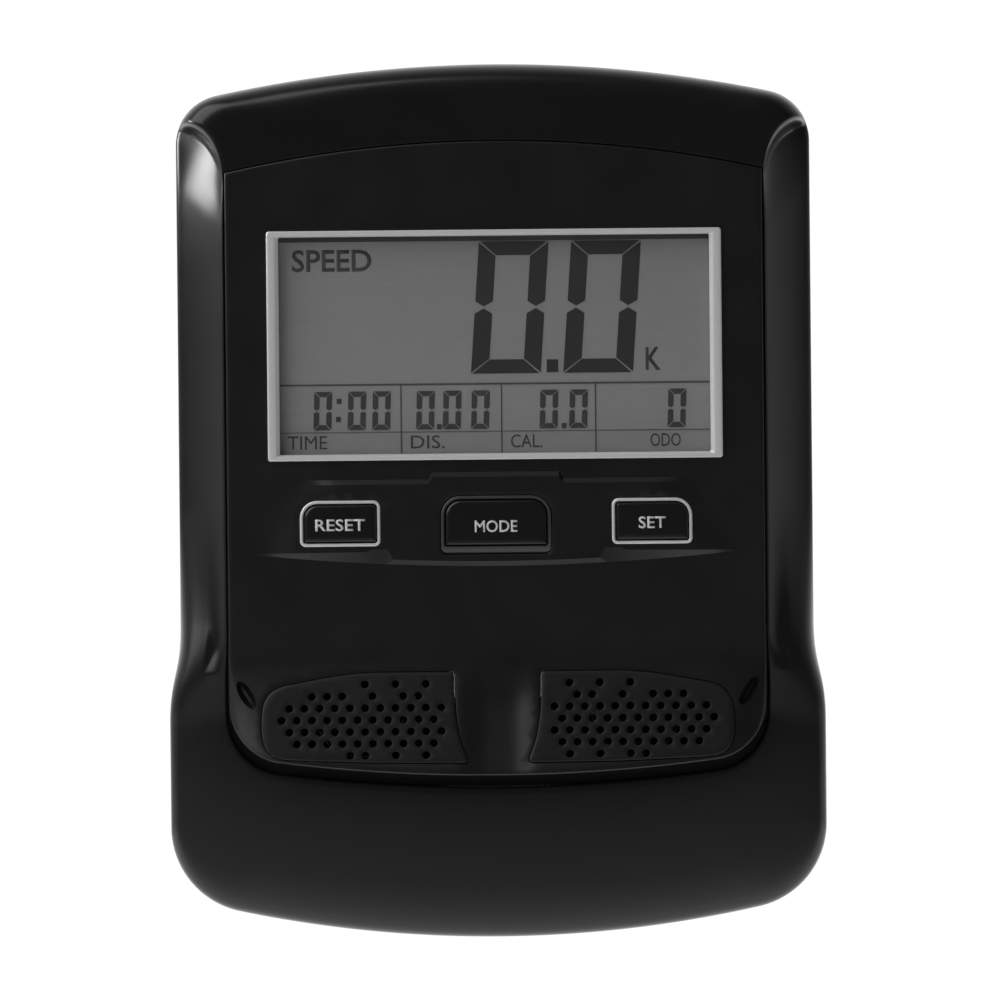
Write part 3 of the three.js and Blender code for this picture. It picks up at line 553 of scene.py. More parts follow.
def silver_paint(name):
    """Silver vacuum-metallised plastic: bright from any side, with a fine flake."""
    colours = ((0.72, 0.73, 0.74), (0.86, 0.87, 0.88))
    return grained(name, (4000, 2), colours, (0.28, 0.38), (1200, 3, 0.002), Metallic=0.25)


def display(name):
    """Grey liquid-crystal panel: a faint painted shade that darkens it towards its upper edge, under the
    frame, and a fine horizontal rub.
    """
    nodes = Nodes(name)
    low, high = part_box("lcd_lens")
    height = nodes.span(nodes.axis("Z"), 0.0, 1.0, low.z, high.z)
    # Painted shade: the grey darkens towards the screen's upper edge, as if shaded by the frame's top bar.
    shade = nodes.ramp(height, (0.385, 0.388, 0.385), (0.358, 0.361, 0.36), 0.2, 1.0)
    rub = nodes.ramp(nodes.noise(700, 3, (0.1, 1, 3)), (0.94, 0.94, 0.94), (1, 1, 1))
    blend = nodes.add("ShaderNodeMix", data_type="RGBA", blend_type="MULTIPLY")
    blend.inputs[0].default_value = 1.0
    nodes.link(shade, blend.inputs[6])
    nodes.link(rub, blend.inputs[7])
    nodes.surface(Base_Color=blend.outputs[2], Roughness=nodes.span(nodes.noise(1500, 2), 0.34, 0.42))
    return nodes.material


def clear_lens(name):
    """Clear acrylic cover: nearly nothing but its gloss and a trace of dust."""
    colours = ((0.1, 0.1, 0.1), (0.3, 0.3, 0.3))
    made = grained(name, (1800, 6), colours, (0.03, 0.07), None, (0.6, 0.8), Alpha=0.08)
    made.surface_render_method = "BLENDED"
    return made


def circuit_board(name):
    """Green solder mask over a maze of tracks, which stand a little proud."""
    nodes = Nodes(name)
    cells = nodes.add("ShaderNodeTexVoronoi", Scale=420.0, distance="CHEBYCHEV", Randomness=0.35)
    nodes.link(nodes.coordinates, cells.inputs["Vector"])
    tracks = cells.outputs["Distance"]
    nodes.surface(
        Base_Color=nodes.ramp(tracks, (0.01, 0.11, 0.035), (0.02, 0.2, 0.07), 0.35, 0.42),
        Roughness=nodes.span(nodes.noise(200, 3), 0.25, 0.4),
    )
    nodes.bump(tracks, 0.03)
    return nodes.material


def pressed_paper(name):
    """Speaker cone: grey-black pulp with coarse fibres."""
    colours = ((0.02, 0.018, 0.016), (0.07, 0.064, 0.058))
    return grained(name, (1300, 8), colours, (0.8, 0.95), (0.05,))


def cell_sleeve(name):
    """Dry cell's printed sleeve: a plain two-colour band with no lettering."""
    nodes = Nodes(name)
    distance = nodes.add("ShaderNodeMath", operation="ABSOLUTE")
    nodes.link(nodes.axis("X"), distance.inputs[0])
    nodes.surface(
        Base_Color=nodes.ramp(distance.outputs[0], (0.02, 0.05, 0.13), (0.42, 0.43, 0.45), 0.0125, 0.0127),
        Roughness=nodes.span(nodes.noise(300, 3), 0.28, 0.36),
        Metallic=0.3,
    )
    nodes.bump(nodes.noise(500, 2), 0.01)
    return nodes.material


shell = plastic("shell_plastic", (0.0054, 0.0056, 0.0059), 0.25, grain=0.0035, mottle=0.12)
fascia = plastic("fascia_plastic", (0.0046, 0.0046, 0.0048), 0.36, grain=0.002, mottle=0.1)
# Middle key's trim: a mid-grey plastic. It is partly its own colour and partly painted light, lightened so
# that its broad foot reads as lit.
mode_trim = plastic("mode_trim_plastic", (0.05, 0.051, 0.053), 0.3, grain=0.002)
key_black = plastic("key_plastic", (0.006, 0.006, 0.0065), 0.24, grain=0.0015)
grille_black = plastic("grille_plastic", (0.0042, 0.0043, 0.0045), 0.5, 0.006, 0.15, specular=0.36)
legend_white = plastic("legend_ink", (0.72, 0.72, 0.71), 0.6, grain=0.003, mottle=0.06)
segment_dark = plastic("segment_dark", (0.026, 0.026, 0.027), 0.5, grain=0.001, mottle=0.05)
segment_soft = plastic("segment_soft", (0.052, 0.052, 0.053), 0.5, grain=0.001, mottle=0.05)
segment_rule = plastic("segment_rule", (0.085, 0.086, 0.086), 0.5, grain=0.001, mottle=0.05)
segment_faint = plastic("segment_faint", (0.15, 0.152, 0.152), 0.5, grain=0.001, mottle=0.05)
rubber = plastic("black_rubber", (0.014, 0.014, 0.014), 0.8, grain=0.02, mottle=0.25, specular=0.3)
resin = plastic("black_resin", (0.013, 0.013, 0.013), 0.42, grain=0.008, mottle=0.2)
nylon = plastic("white_nylon", (0.56, 0.55, 0.5), 0.5, grain=0.004, mottle=0.06)
wire_sleeve = plastic("wire_sleeve", (0.26, 0.016, 0.012), 0.5, grain=0.004, mottle=0.1)
silver = silver_paint("silver_trim")
steel = metal("plated_steel", (0.6, 0.61, 0.63), 0.28)
brass = metal("brass", (0.7, 0.48, 0.19), 0.32, (1, 6, 1))
ferrite = plastic("ferrite", (0.03, 0.03, 0.032), 0.7, grain=0.03, mottle=0.3)
lcd_grey = display("lcd_glass")
lens_clear = clear_lens("clear_lens")
board_green = circuit_board("circuit_board")
paper = pressed_paper("cone_paper")
sleeve = cell_sleeve("cell_sleeve")

# ---- outlines


def corner_centre(side, crown, arc_radius, radius):
    """Height of the centre of a corner that runs from a straight side into an arched edge above it."""
    return crown - arc_radius + math.sqrt((arc_radius - radius) ** 2 - (side - radius) ** 2)


def foot_corner(half, bottom):
    """Centre of the lower right corner of the opening, or of the fascia in it."""
    return half - OPENING_CORNER, -corner_centre(half, -bottom, OPENING_BOTTOM_ARC, OPENING_CORNER)


def half_tracks():
    """Right half of the housing's outline and of its opening, each as a top, a side and a chin run."""
    quarter = math.pi / 2
    top_x = HALF_WIDTH - TOP_CORNER
    top_y = corner_centre(HALF_WIDTH, HALF_HEIGHT, TOP_ARC, TOP_CORNER)
    top_turn = math.atan2(top_y - HALF_HEIGHT + TOP_ARC, top_x)
    top = chain(
        arc(0, HALF_HEIGHT - TOP_ARC, TOP_ARC, quarter, top_turn),
        arc(top_x, top_y, TOP_CORNER, top_turn, DIAGONAL, 0.4),
    )
    middle = (FLARE_TOP + FLARE_BOTTOM) / 2
    start, end = (HALF_WIDTH, FLARE_TOP), (CHIN_HALF_WIDTH, FLARE_BOTTOM)
    side = chain(
        arc(top_x, top_y, TOP_CORNER, DIAGONAL, 0, 0.4),
        line((HALF_WIDTH, top_y), start),
        bezier(start, (HALF_WIDTH, middle), (CHIN_HALF_WIDTH, middle), end, 48),
    )
    chin_x = CHIN_HALF_WIDTH - CHIN_CORNER
    chin_y = -corner_centre(CHIN_HALF_WIDTH, HALF_HEIGHT, CHIN_ARC, CHIN_CORNER)
    chin_turn = math.atan2(chin_y + HALF_HEIGHT - CHIN_ARC, chin_x)
    chin = chain(
        line(end, (CHIN_HALF_WIDTH, chin_y)),
        arc(chin_x, chin_y, CHIN_CORNER, 0, chin_turn, 0.5),
        arc(0, CHIN_ARC - HALF_HEIGHT, CHIN_ARC, chin_turn, -quarter),
    )
    open_turn = math.acos(OPENING_HALF_WIDTH / OPENING_ARC)
    open_top = arc(0, OPENING_TOP - OPENING_ARC, OPENING_ARC, quarter, open_turn)
    open_x, open_y = foot_corner(OPENING_HALF_WIDTH, OPENING_BOTTOM)
    open_chin_turn = math.atan2(open_y - OPENING_BOTTOM - OPENING_BOTTOM_ARC, open_x)
    open_side = line(open_top[-1], (OPENING_HALF_WIDTH, open_y))
    open_chin = chain(
        arc(open_x, open_y, OPENING_CORNER, 0, open_chin_turn, 0.5),
        arc(0, OPENING_BOTTOM + OPENING_BOTTOM_ARC, OPENING_BOTTOM_ARC, open_chin_turn, -quarter),
    )
    return [Track(run) for run in (top, side, chin, open_top, open_side, open_chin)]


def edge_height(y):
    """Height of the edge of the opening at a height y on the face."""
    return mix(EDGE_HEIGHT, CHIN_EDGE_HEIGHT, smooth((FLARE_TOP - y) / (FLARE_TOP - FLARE_BOTTOM)))


def side_rim(y, u):
    """Height of the rim of a side bevel: it drops off the cap at the diagonal and climbs to the shoulder."""
    cap = mix(TOP_RIM, SIDE_RIM, smooth(u / DIAGONAL_EDGE))
    return cap + (SHOULDER_RIM - SIDE_RIM) * smooth((FLARE_TOP + 2 - y) / (FLARE_TOP - FLARE_BOTTOM))


def half_stations(top_count, side_count, chin_count):
    """Where the front is cut into sections, from the top centre to the bottom centre on the right."""
    top, side, chin, open_top, open_side, open_chin = half_tracks()
    stations = []
    for k in range(top_count + 1):
        u = k / top_count
        bend = smooth((u - CAP_BEND_START) / (1 - CAP_BEND_START))
        stations.append((top.at(u), open_top.at(u), TOP_RIM, 1.0, bend))
    for k in range(1, side_count):
        u = k / side_count
        u -= 0.1 * math.sin(2 * math.pi * u) - 0.05 * math.sin(math.pi * u) ** 2
        outer = side.at(u)
        full = 1 - smooth(u / DIAGONAL_EDGE)
        stations.append((outer, open_side.at(u), side_rim(outer[1], u), full, smooth(1 - u / SIDE_BEND_END)))
    for k in range(chin_count + 1):
        u = k / chin_count
        rim = mix(SHOULDER_RIM, CHIN_RIM, smooth(u / 0.5))
        stations.append((chin.at(u), open_chin.at(u), rim, 1.0, 0.0))
    return stations


def all_stations(*counts):
    """Both halves: (outer point, inner point, rim height, share of the full profile, bend, side)."""
    right = half_stations(*counts)
    left = [((-o[0], o[1]), (-i[0], i[1]), *rest, -1) for o, i, *rest in right[1:-1][::-1]]
    return [(*station, 1) for station in right] + left


# ---- front housing

OPENING_FILLET = 0.8
TOP_FILLET = 0.3
SIDE_HOLLOW = 1.3
CAP_BOW = 7
CHIN_BOW = 1.7
SCOOP_TOP = -30.5
SCOOP_CREASE = -41.5
SCOOP_FOOT = -53
SCOOP_REACH = 0.5
FLARE_START = 0
FLARE_POWER = 1.4
BEND = (3.5, 5.2)
RIM_FILLETS = (1.1, 2.4)
BACK_KNEE = 0.55


def scoop_end(y, t):
    """Share of the chin's profile at a height y, between the fascia (t = 0) and the rim (t = 1).

    Beside the fascia a facet rises to a crease. Further out the hollow runs out slowly as the side flares.
    """
    if y < SCOOP_FOOT:
        return 1.0
    inward = max(0.0, 1 - t / SCOOP_REACH)
    start = mix(SCOOP_CREASE, SCOOP_TOP, inward)
    facet = min(1, max(0, (start - y) / max(start - SCOOP_CREASE, 0.01)))
    flare = min(1, max(0, (FLARE_START - y) / (FLARE_START - SCOOP_FOOT))) ** FLARE_POWER
    return mix(flare, facet, smooth(inward))


def front_profile(t, y, full, bow):
    """Share of the way from rim to edge height: hollow on the side bevels, full on the cap and the chin."""
    hollow = (1 - t) ** SIDE_HOLLOW
    full = max(full, scoop_end(y, t))
    return mix(hollow, (1 - t**bow) ** 0.6, full)


def front_section(station):
    """One closed section of the front housing, from its ledge up over the front and back under it."""
    outer, inner, rim, full, bend, side = station
    edge = edge_height(inner[1])
    low_down = smooth((FLARE_TOP - inner[1]) / (FLARE_TOP - FLARE_BOTTOM))
    bow = mix(CAP_BOW, CHIN_BOW, low_down)
    control = ((outer[0] + inner[0]) / 2 - BEND[0] * side * bend, (outer[1] + inner[1]) / 2 + BEND[1] * bend)
    width = math.dist(outer, inner)

    def plan(t):
        return weighted(((1 - t) ** 2, 2 * t * (1 - t), t * t), (inner, control, outer))

    inward = ((inner[0] - outer[0]) / width, (inner[1] - outer[1]) / width)

    def shift(point, distance):
        return point[0] + inward[0] * distance, point[1] + inward[1] * distance

    rim_fillet = mix(*RIM_FILLETS, max(full, scoop_end(outer[1], 1)))
    lip = mix(OPENING_FILLET, TOP_FILLET, full * (1 - low_down))
    near = [lip * s for s in (0, 0.08, 0.3, 0.6, 1)]
    far = [width - rim_fillet * s for s in (1, 0.65, 0.35, 0.15, 0.04, 0)]
    inner_end, outer_end = near[-1] / width, far[0] / width
    distances = near[:-1] + [mix(inner_end, outer_end, k / 22) * width for k in range(23)] + far[1:]
    skin = []
    for distance in distances:
        t = min(1.0, distance / width)
        z = mix(rim, edge, front_profile(t, plan(t)[1], full, bow))
        if distance < lip:
            z -= lip - math.sqrt(lip**2 - (lip - distance) ** 2)
        left = width - distance
        if left < rim_fillet:
            z -= rim_fillet - math.sqrt(max(0.0, rim_fillet**2 - (rim_fillet - left) ** 2))
        skin.append((*plan(t), z))
    ledge = edge - LEDGE_DEPTH - 4 * low_down
    knee = plan(BACK_KNEE)
    knee_height = mix(rim, edge, front_profile(BACK_KNEE, knee[1], full, bow)) - WALL * 1.3
    back = [
        (*outer, 0.4),
        (*shift(outer, 0.3), 0.0),
        (*shift(outer, WALL), 0.0),
        (*shift(outer, WALL), max(0.6, rim - WALL - rim_fillet)),
        (*knee, knee_height),
        (*shift(inner, -1.6), ledge - LEDGE_THICKNESS),
        (*shift(inner, LEDGE_WIDTH), ledge - LEDGE_THICKNESS),
        (*shift(inner, LEDGE_WIDTH), ledge),
        (*inner, ledge),
    ]
    return skin + back


def front_shell():
    sections = [front_section(station) for station in all_stations(56, 130, 80)]
    solid = loops_to_mesh(sections, closed=True)
    piece("front_shell", solid, shell, "front_housing", angle=50)


# ---- fascia


def panel_loop(inset=0.0):
    """Outline of the fascia, anticlockwise from its right side, drawn in by an inset."""
    half = PANEL_HALF_WIDTH - inset
    top_radius = OPENING_ARC - TOP_SEAM - inset
    turn = math.acos(half / top_radius)
    top_centre = OPENING_TOP - OPENING_ARC
    top_y = top_centre + top_radius * math.sin(turn)
    corner_x, corner_y = foot_corner(PANEL_HALF_WIDTH, PANEL_BOTTOM)
    bottom_centre = PANEL_BOTTOM + OPENING_BOTTOM_ARC
    low = math.atan2(corner_y - bottom_centre, corner_x)
    radius = OPENING_CORNER - inset
    return ring(
        line((half, corner_y), (half, top_y)),
        arc(0, top_centre, top_radius, turn, math.pi - turn, 1.5),
        line((-half, top_y), (-half, corner_y)),
        arc(-corner_x, corner_y, radius, math.pi, -math.pi - low + 2 * math.pi, 0.6),
        arc(0, bottom_centre, OPENING_BOTTOM_ARC - inset, -math.pi - low, low, 1.5),
        arc(corner_x, corner_y, radius, low, 0, 0.6),
    )


def panel_bottom(x):
    corner_x, corner_y = foot_corner(PANEL_HALF_WIDTH, PANEL_BOTTOM)
    reach = min(abs(x), PANEL_HALF_WIDTH)
    if reach > corner_x:
        return corner_y - math.sqrt(max(0.0, OPENING_CORNER**2 - (reach - corner_x) ** 2))
    return PANEL_BOTTOM + OPENING_BOTTOM_ARC - math.sqrt(OPENING_BOTTOM_ARC**2 - reach**2)


def lip_rise(y):
    """How far the sloping lip stands above the flat face at a height y."""
    below = max(0.0, LIP_TOP - y)
    return LIP_SLOPE * (below**2 / (2 * LIP_BLEND) if below < LIP_BLEND else below - LIP_BLEND / 2)


def lip_plane(y):
    return FACE + LIP_SLOPE * (LIP_TOP - y - LIP_BLEND / 2)


def face_height(x, y):
    """Height of the fascia: flat, then the lip, which falls at its ends and dips between the grilles."""
    end = max(0.0, (abs(x) - LIP_END) / (PANEL_HALF_WIDTH - LIP_END))
    roll = min(LIP_ROLL, max(0.0, LIP_ROLL - (y - panel_bottom(x))))
    dropped = LIP_ROLL - math.sqrt(max(0.0, LIP_ROLL**2 - roll**2))
    rise = lip_rise(y) * math.sqrt(max(0.0, 1 - end**2))
    trough = TROUGH_DEPTH * smooth((TROUGH_HALF_WIDTH - abs(x)) / 7) * smooth((TROUGH_TOP - y) / 12)
    return FACE + rise - min(dropped, rise + 0.6) - trough


WINDOW = (107, 54.6)
DECK_SWEEP = 547
DECK_END = 59
DECK_SHOULDER = 48
DECK_STEP = (15.4, 16.4)
DECK_TOP = 5.6
DECK_STEP_TOP = 7.3
DECK_FOOT = -11.6
DECK_FOOT_CROWN = -15.65
DECK_BROW_CROWN = -14.45
DECK_FADE = 12
DECK_SLOPE_WIDTH = 1.15


def deck_arc(crown, half):
    """Arc that runs across the face just below the keys, from the right."""
    turn = math.asin(half / DECK_SWEEP)
    return arc(0, crown + DECK_SWEEP, DECK_SWEEP, -math.pi / 2 + turn, -math.pi / 2 - turn, 2)


def deck_loop(drawn, lower):
    """Outline of the raised key deck, whose upper edge steps up over the middle key."""
    half = DECK_END
    inner, outer = DECK_STEP
    top, step = DECK_TOP - drawn, DECK_STEP_TOP - drawn
    upper = [(-half, DECK_FOOT), (-DECK_SHOULDER, top), (-outer, top), (-inner, step)]
    upper += [(-x, y) for x, y in upper[::-1]]
    runs = [line(a, b, 2) for a, b in zip(upper, upper[1:])]
    return anticlockwise(ring(*runs, line(upper[-1], lower[0], 2), lower, line(lower[-1], upper[0], 2)))


def deck_loops():
    """Foot and brow of the key deck. The slope between them is the deck's bright edge, broad at the wings."""
    foot = deck_arc(DECK_FOOT_CROWN, DECK_END - 0.2)
    wing = [(DECK_END - 0.4, -12.2), (31.6, -12), (30.6, -11.4), (26.4, -11.35), (25.2, -13.85)]
    right = chain(*[line(a, b, 2) for a, b in zip(wing, wing[1:])])
    left = [(-x, y) for x, y in right[::-1]]
    brow = chain(right, deck_arc(DECK_BROW_CROWN, 25), left)
    return deck_loop(0, foot), deck_loop(DECK_SLOPE_WIDTH, brow)


def deck_lift(x, y):
    """The deck fades into the face towards its two slanted ends."""
    end = mix(DECK_END, DECK_SHOULDER, min(1, max(0, (y - DECK_FOOT) / (DECK_TOP - DECK_FOOT))))
    return DECK_LIFT * smooth((end - abs(x)) / DECK_FADE)


def grille_loop(side, grow=0.0):
    """Outline of one sound grille: 1 is the right one and -1 the left one."""
    top, low = -41.3 + grow, -63.4 - grow
    inner, foot, end = 10.6 - grow, 7.2 - grow, 57.6 + grow
    corner, tip = 1.0, 1.6
    loop = ring(
        arc(inner + corner, top - corner, corner, math.pi, math.pi / 2, 0.25),
        line((inner + corner, top), (30, top)),
        bezier((30, top), (38, top - 0.2), (44, top - 1.7), (51, top - 2.9), 14),
        bezier((51, top - 2.9), (57 + grow, top - 4.1), (end, -49), (end, -54), 14),
        bezier((end, -54), (end, -60), (56 + grow, low + 1.3), (50, low + 1), 14),
        line((50, low + 1), (30, low + 0.2)),
        line((30, low + 0.2), (foot + tip, low)),
        bezier((foot + tip, low), (foot + 0.5, low), (foot, low + 0.3), (foot + 0.5, low + tip), 8),
        bezier((foot + 0.5, low + tip), (foot + 2.8, -57), (inner, -51), (inner, top - corner), 16),
    )
    return anticlockwise([(side * x, y) for x, y in loop])


KEYS = {
    "reset": ((-38, -5), (18, 9.6), (0.9, 3.4, 0.6, 0.6)),
    "mode": ((0, -5.6), (25.2, 12.6), (4, 4, 0.6, 0.6)),
    "set": ((38, -5), (18, 9.6), (3.4, 0.9, 0.6, 0.6)),
}
LEGEND_WIDTHS = {"reset": 12.1, "mode": 10.4, "set": 6.6}
LEGEND_HEIGHT = 2.9
LEGEND_DROP = 1.8
RING_WIDTH = 0.8
MODE_FOOT = 1.1
MODE_SLOPE = 0.5
SKIRT = 1.1
SLOT_X = 61.2
SLOT_Y = -46.6
SLOT_HALF_WIDTH = 1.6
SLOT_HALF_LENGTH = 3.9
SLOT_LEAN = 0.55
SLOT_STEPS = ((0, 0), (0.45, 0.9), (1.25, 2.0))
PANEL_GRID = (1.9, 0.75)


def fascia_panel():
    """The flat front with its window, key and grille holes, the raised key deck and the sloping lip."""
    screen_centre, _ = centre_size("lcd_lens")
    window = cornered(screen_centre[:2], WINDOW, 1)
    keys = [cornered(*key, grow=RING_WIDTH + 0.1) for key in KEYS.values()]
    grilles = [grille_loop(side, 0.02) for side in (-1, 1)]
    holes = [window, *keys, *grilles]
    relief = Relief(panel_loop(), holes, face_height, WALL)

    def ledge(x, y):
        return edge_height(y) - LEDGE_DEPTH + 0.5

    relief.round_rim(relief.outline, 0.35, ledge)
    relief.add(panel_loop(SKIRT), floor=ledge)
    relief.add(panel_loop(SKIRT + 0.3))
    for hole in relief.holes:
        relief.round_rim(hole, 0.35 if len(hole) > 60 else 0.2)
    foot, brow = deck_loops()
    relief.add(foot)
    relief.add(brow, [-deck_lift(x, y) for x, y in brow])
    for side in (-1, 1):
        for inset, depth in SLOT_STEPS:
            relief.add(end_slot(side, inset), depth)
    relief.fill(*PANEL_GRID, [end_slot(side, 0) for side in (-1, 1)], (foot, brow))

    within = offset(brow, 0.01)

    def lift(flat):
        return [deck_lift(x, y) if good else 0.0 for (x, y), good in zip(flat, inside(flat, within))]

    made = piece("fascia", relief.mesh(lift), fascia, "fascia_panel", angle=34)
    crisp_edges(made, foot)
    crisp_edges(made, brow)


def crisp_edges(made, loop):
    """Keeps the edges that run along a loop of the face sharp."""
    flat = np.array([(v.co.x / MM, (v.co.z - MIDDLE) / MM) for v in made.data.vertices])
    order = {}
    for k, point in enumerate(loop):
        for i in np.flatnonzero(np.hypot(*(flat - point).T) < 0.02):
            order[int(i)] = k
    for edge in made.data.edges:
        a, b = (order.get(i) for i in edge.vertices)
        if a is not None and b is not None and (a - b) % len(loop) in (1, len(loop) - 1):
            edge.use_edge_sharp = True


def end_slot(side, inset):
    """Leaf-shaped hollow at each end of the lip, shrunk by an inset."""
    lean = -side * SLOT_LEAN
    loop = []
    for across, along in circle(0, 0, 1, 28):
        u, v = (SLOT_HALF_WIDTH - inset) * across, (SLOT_HALF_LENGTH - inset) * along
        x = side * SLOT_X + u * math.cos(lean) - v * math.sin(lean)
        loop.append((x, SLOT_Y + u * math.sin(lean) + v * math.cos(lean)))
    return anticlockwise(loop)


# ---- grilles

GRILLE_FILLET = 0.45
GRILLE_GRID = (1.5, 0.5)
HOLE_FILLET = 0.14
HOLE_RADIUS = 0.95
HOLE_START = (13.8, -44.2)
HOLE_PITCH = 3.7
HOLE_ROW = 2.87
FULL_ROW = range(11)
HOLE_ROWS = ((1, 3, 5), (1, 2, 4, 6, 7, 8), FULL_ROW, FULL_ROW, FULL_ROW, range(10), (1, 3, 5, 6))


def grille_holes(side):
    holes = []
    for row, columns in enumerate(HOLE_ROWS):
        for column in columns:
            x = side * (HOLE_START[0] + column * HOLE_PITCH + (row % 2) * HOLE_PITCH / 2)
            holes.append(circle(x, HOLE_START[1] - row * HOLE_ROW, HOLE_RADIUS, 16))
    return holes


def grille(side, node):
    """Perforated insert that stands a little proud of the sloping lip."""
    top = GRILLE_PROUD * LIP_STRETCH
    thickness = GRILLE_THICKNESS * LIP_STRETCH
    relief = Relief(grille_loop(side), grille_holes(side), lambda x, y: lip_plane(y) + top, thickness)
    relief.round_rim(relief.outline, GRILLE_FILLET)
    for hole in relief.holes:
        relief.round_rim(hole, HOLE_FILLET)
    relief.fill(*GRILLE_GRID)
    name = node.replace("grille", "sound_grille")
    piece(name, relief.mesh(), grille_black, node, angle=40)


# ---- display


def bezel():
    """Silver frame of the display: a proud, softly rounded flange on a collar that goes down to the lens."""
    centre, size = centre_size("lcd_bezel")
    low, high = face_box("lcd_bezel")
    _, lens = centre_size("lcd_lens")
    opening = (lens.x + 0.3, lens.y + 0.3)
    front = high.z

    def loop(share, z):
        across = [mix(size[i], opening[i], share) for i in (0, 1)]
        return at_height(cornered(centre[:2], across, mix(0.7, 0.4, share)), z)

    profile = (
        (0, front - 1.2), (0, front - 0.3), (0.03, front - 0.12), (0.1, front - 0.03), (0.18, front),
        (0.68, front), (0.72, front - 0.05), (0.78, front - 0.5), (0.97, front - 0.72), (1, front - 0.9),
        (1, low.z), (0.7, low.z), (0.7, front - 1.2),
    )
    solid = loops_to_mesh([loop(*point) for point in profile], closed=True)
    piece("display_frame", solid, silver, "lcd_bezel", angle=50)


def lens():
    centre, size = centre_size("lcd_lens")
    low, high = face_box("lcd_lens")
    profile = ((-0.2, low.z), (0, low.z + 0.2), (0, high.z - 0.2), (-0.2, high.z))
    loops = [at_height(cornered(centre[:2], size[:2], 0.5, grow), z) for grow, z in profile]
    piece("display_lens", loops_to_mesh(loops), lens_clear, "lcd_lens", angle=50)


SEGMENT_DEPTH = 0.06
BIG_DIGIT = {"width": 17, "height": 32.2, "across": 4.3, "stroke": 3.4, "slant": 0.07, "gap": 0.22}
SMALL_DIGIT = {"width": 4.4, "height": 9.4, "across": 1.35, "stroke": 1.3, "slant": 0.03, "gap": 0.14}
BIG_DIGITS_X = (-5.8, 16.7)
BIG_ROW = -7.1
POINT_PLACE = (12.7, -6.9)
POINT_SIZE = (2.8, 3.1)
SMALL_DIGITS_X = (-44.3, -36.0, -30.0, -19.3, -12.8, -5.9, 10.8, 18.0, 42.0)
SMALL_DOTS = ((-38.6, -14.2), (-38.8, -18.6), (-14.2, -20.6), (16.2, -20.6))
SMALL_ROW = -20.6
LABEL_ROW = -25.2
LABEL_HEIGHT = 3.2
COLUMN_RULES_X = (-22.9, 1.6, 24.5)
RULE_Y = -9.6


class Ink:
    """Flat marks on one plane, gathered into one thin piece."""

    def __init__(self, base):
        self.base, self.points, self.faces = base, [], []

    def polygon(self, corners):
        first, count = len(self.points), len(corners)
        for z in (self.base, self.base + SEGMENT_DEPTH):
            self.points += [(x, y, z) for x, y in anticlockwise(list(corners))]
        self.faces.append(tuple(first + count + k for k in range(count)))
        self.faces.append(tuple(first + k for k in reversed(range(count))))
        for k in range(count):
            m = (k + 1) % count
            self.faces.append((first + k, first + m, first + count + m, first + count + k))

    def bar(self, x, y, width, height):
        """A rectangle from its lower left corner."""
        self.polygon([(x, y), (x + width, y), (x + width, y + height), (x, y + height)])

    def zero(self, x, y, width, height, across, stroke, slant, gap):
        """A seven-segment 0 with mitred corners, from its lower left corner."""

        def lean(points):
            return [(px + (py - y) * slant, py) for px, py in points]

        half = height / 2
        for low, high, sign in ((y, y + half - gap, 1), (y + height, y + half + gap, -1)):
            for near, far in ((x, x + across), (x + width, x + width - across)):
                tip = (near + far) / 2
                edge = high - sign * across * 0.3
                self.polygon(lean([
                    (near, low + sign * gap), (far, low + sign * (stroke + gap)),
                    (far, edge), (tip, high), (near, edge),
                ]))
            self.polygon(lean([
                (x + gap * 1.4, low), (x + width - gap * 1.4, low),
                (x + width - across - gap * 0.5, low + sign * stroke),
                (x + across + gap * 0.5, low + sign * stroke),
            ]))

    def make(self, name, material):
        piece(name, (self.points, self.faces), material, angle=30)


def words(name, text, x, y, height, width, z, material, body="case", slot="lcd_glass", bold=0.0):
    """Plain lettering of a cap height and a width, from its lower left corner."""
    curve = bpy.data.curves.new(name, "FONT")
    curve.body = text
    curve.offset = bold
    curve.resolution_u = 3
    made = add_object(name, curve)
    bpy.context.view_layer.update()
    flat = bpy.data.meshes.new_from_object(made.evaluated_get(bpy.context.evaluated_depsgraph_get()))
    bpy.data.objects.remove(made)
    solid = bmesh.new()
    solid.from_mesh(flat)
    bmesh.ops.remove_doubles(solid, verts=solid.verts, dist=1e-5)
    grown = bmesh.ops.extrude_face_region(solid, geom=solid.faces[:])
    raised = [v for v in grown["geom"] if isinstance(v, bmesh.types.BMVert)]
    low, high = (Vector([pick(v.co[i] for v in solid.verts) for i in range(3)]) for pick in (min, max))
    for vert in raised:
        vert.co.z += 1
    for vert in solid.verts:
        share = [(vert.co[i] - low[i]) / (high[i] - low[i]) for i in (0, 1)]
        vert.co = place(x + share[0] * width, y + share[1] * height, z + vert.co.z * SEGMENT_DEPTH)
    bmesh.ops.recalc_face_normals(solid, faces=solid.faces)
    solid.to_mesh(flat)
    solid.free()
    return dress(add_object(name, flat), material, None, body)


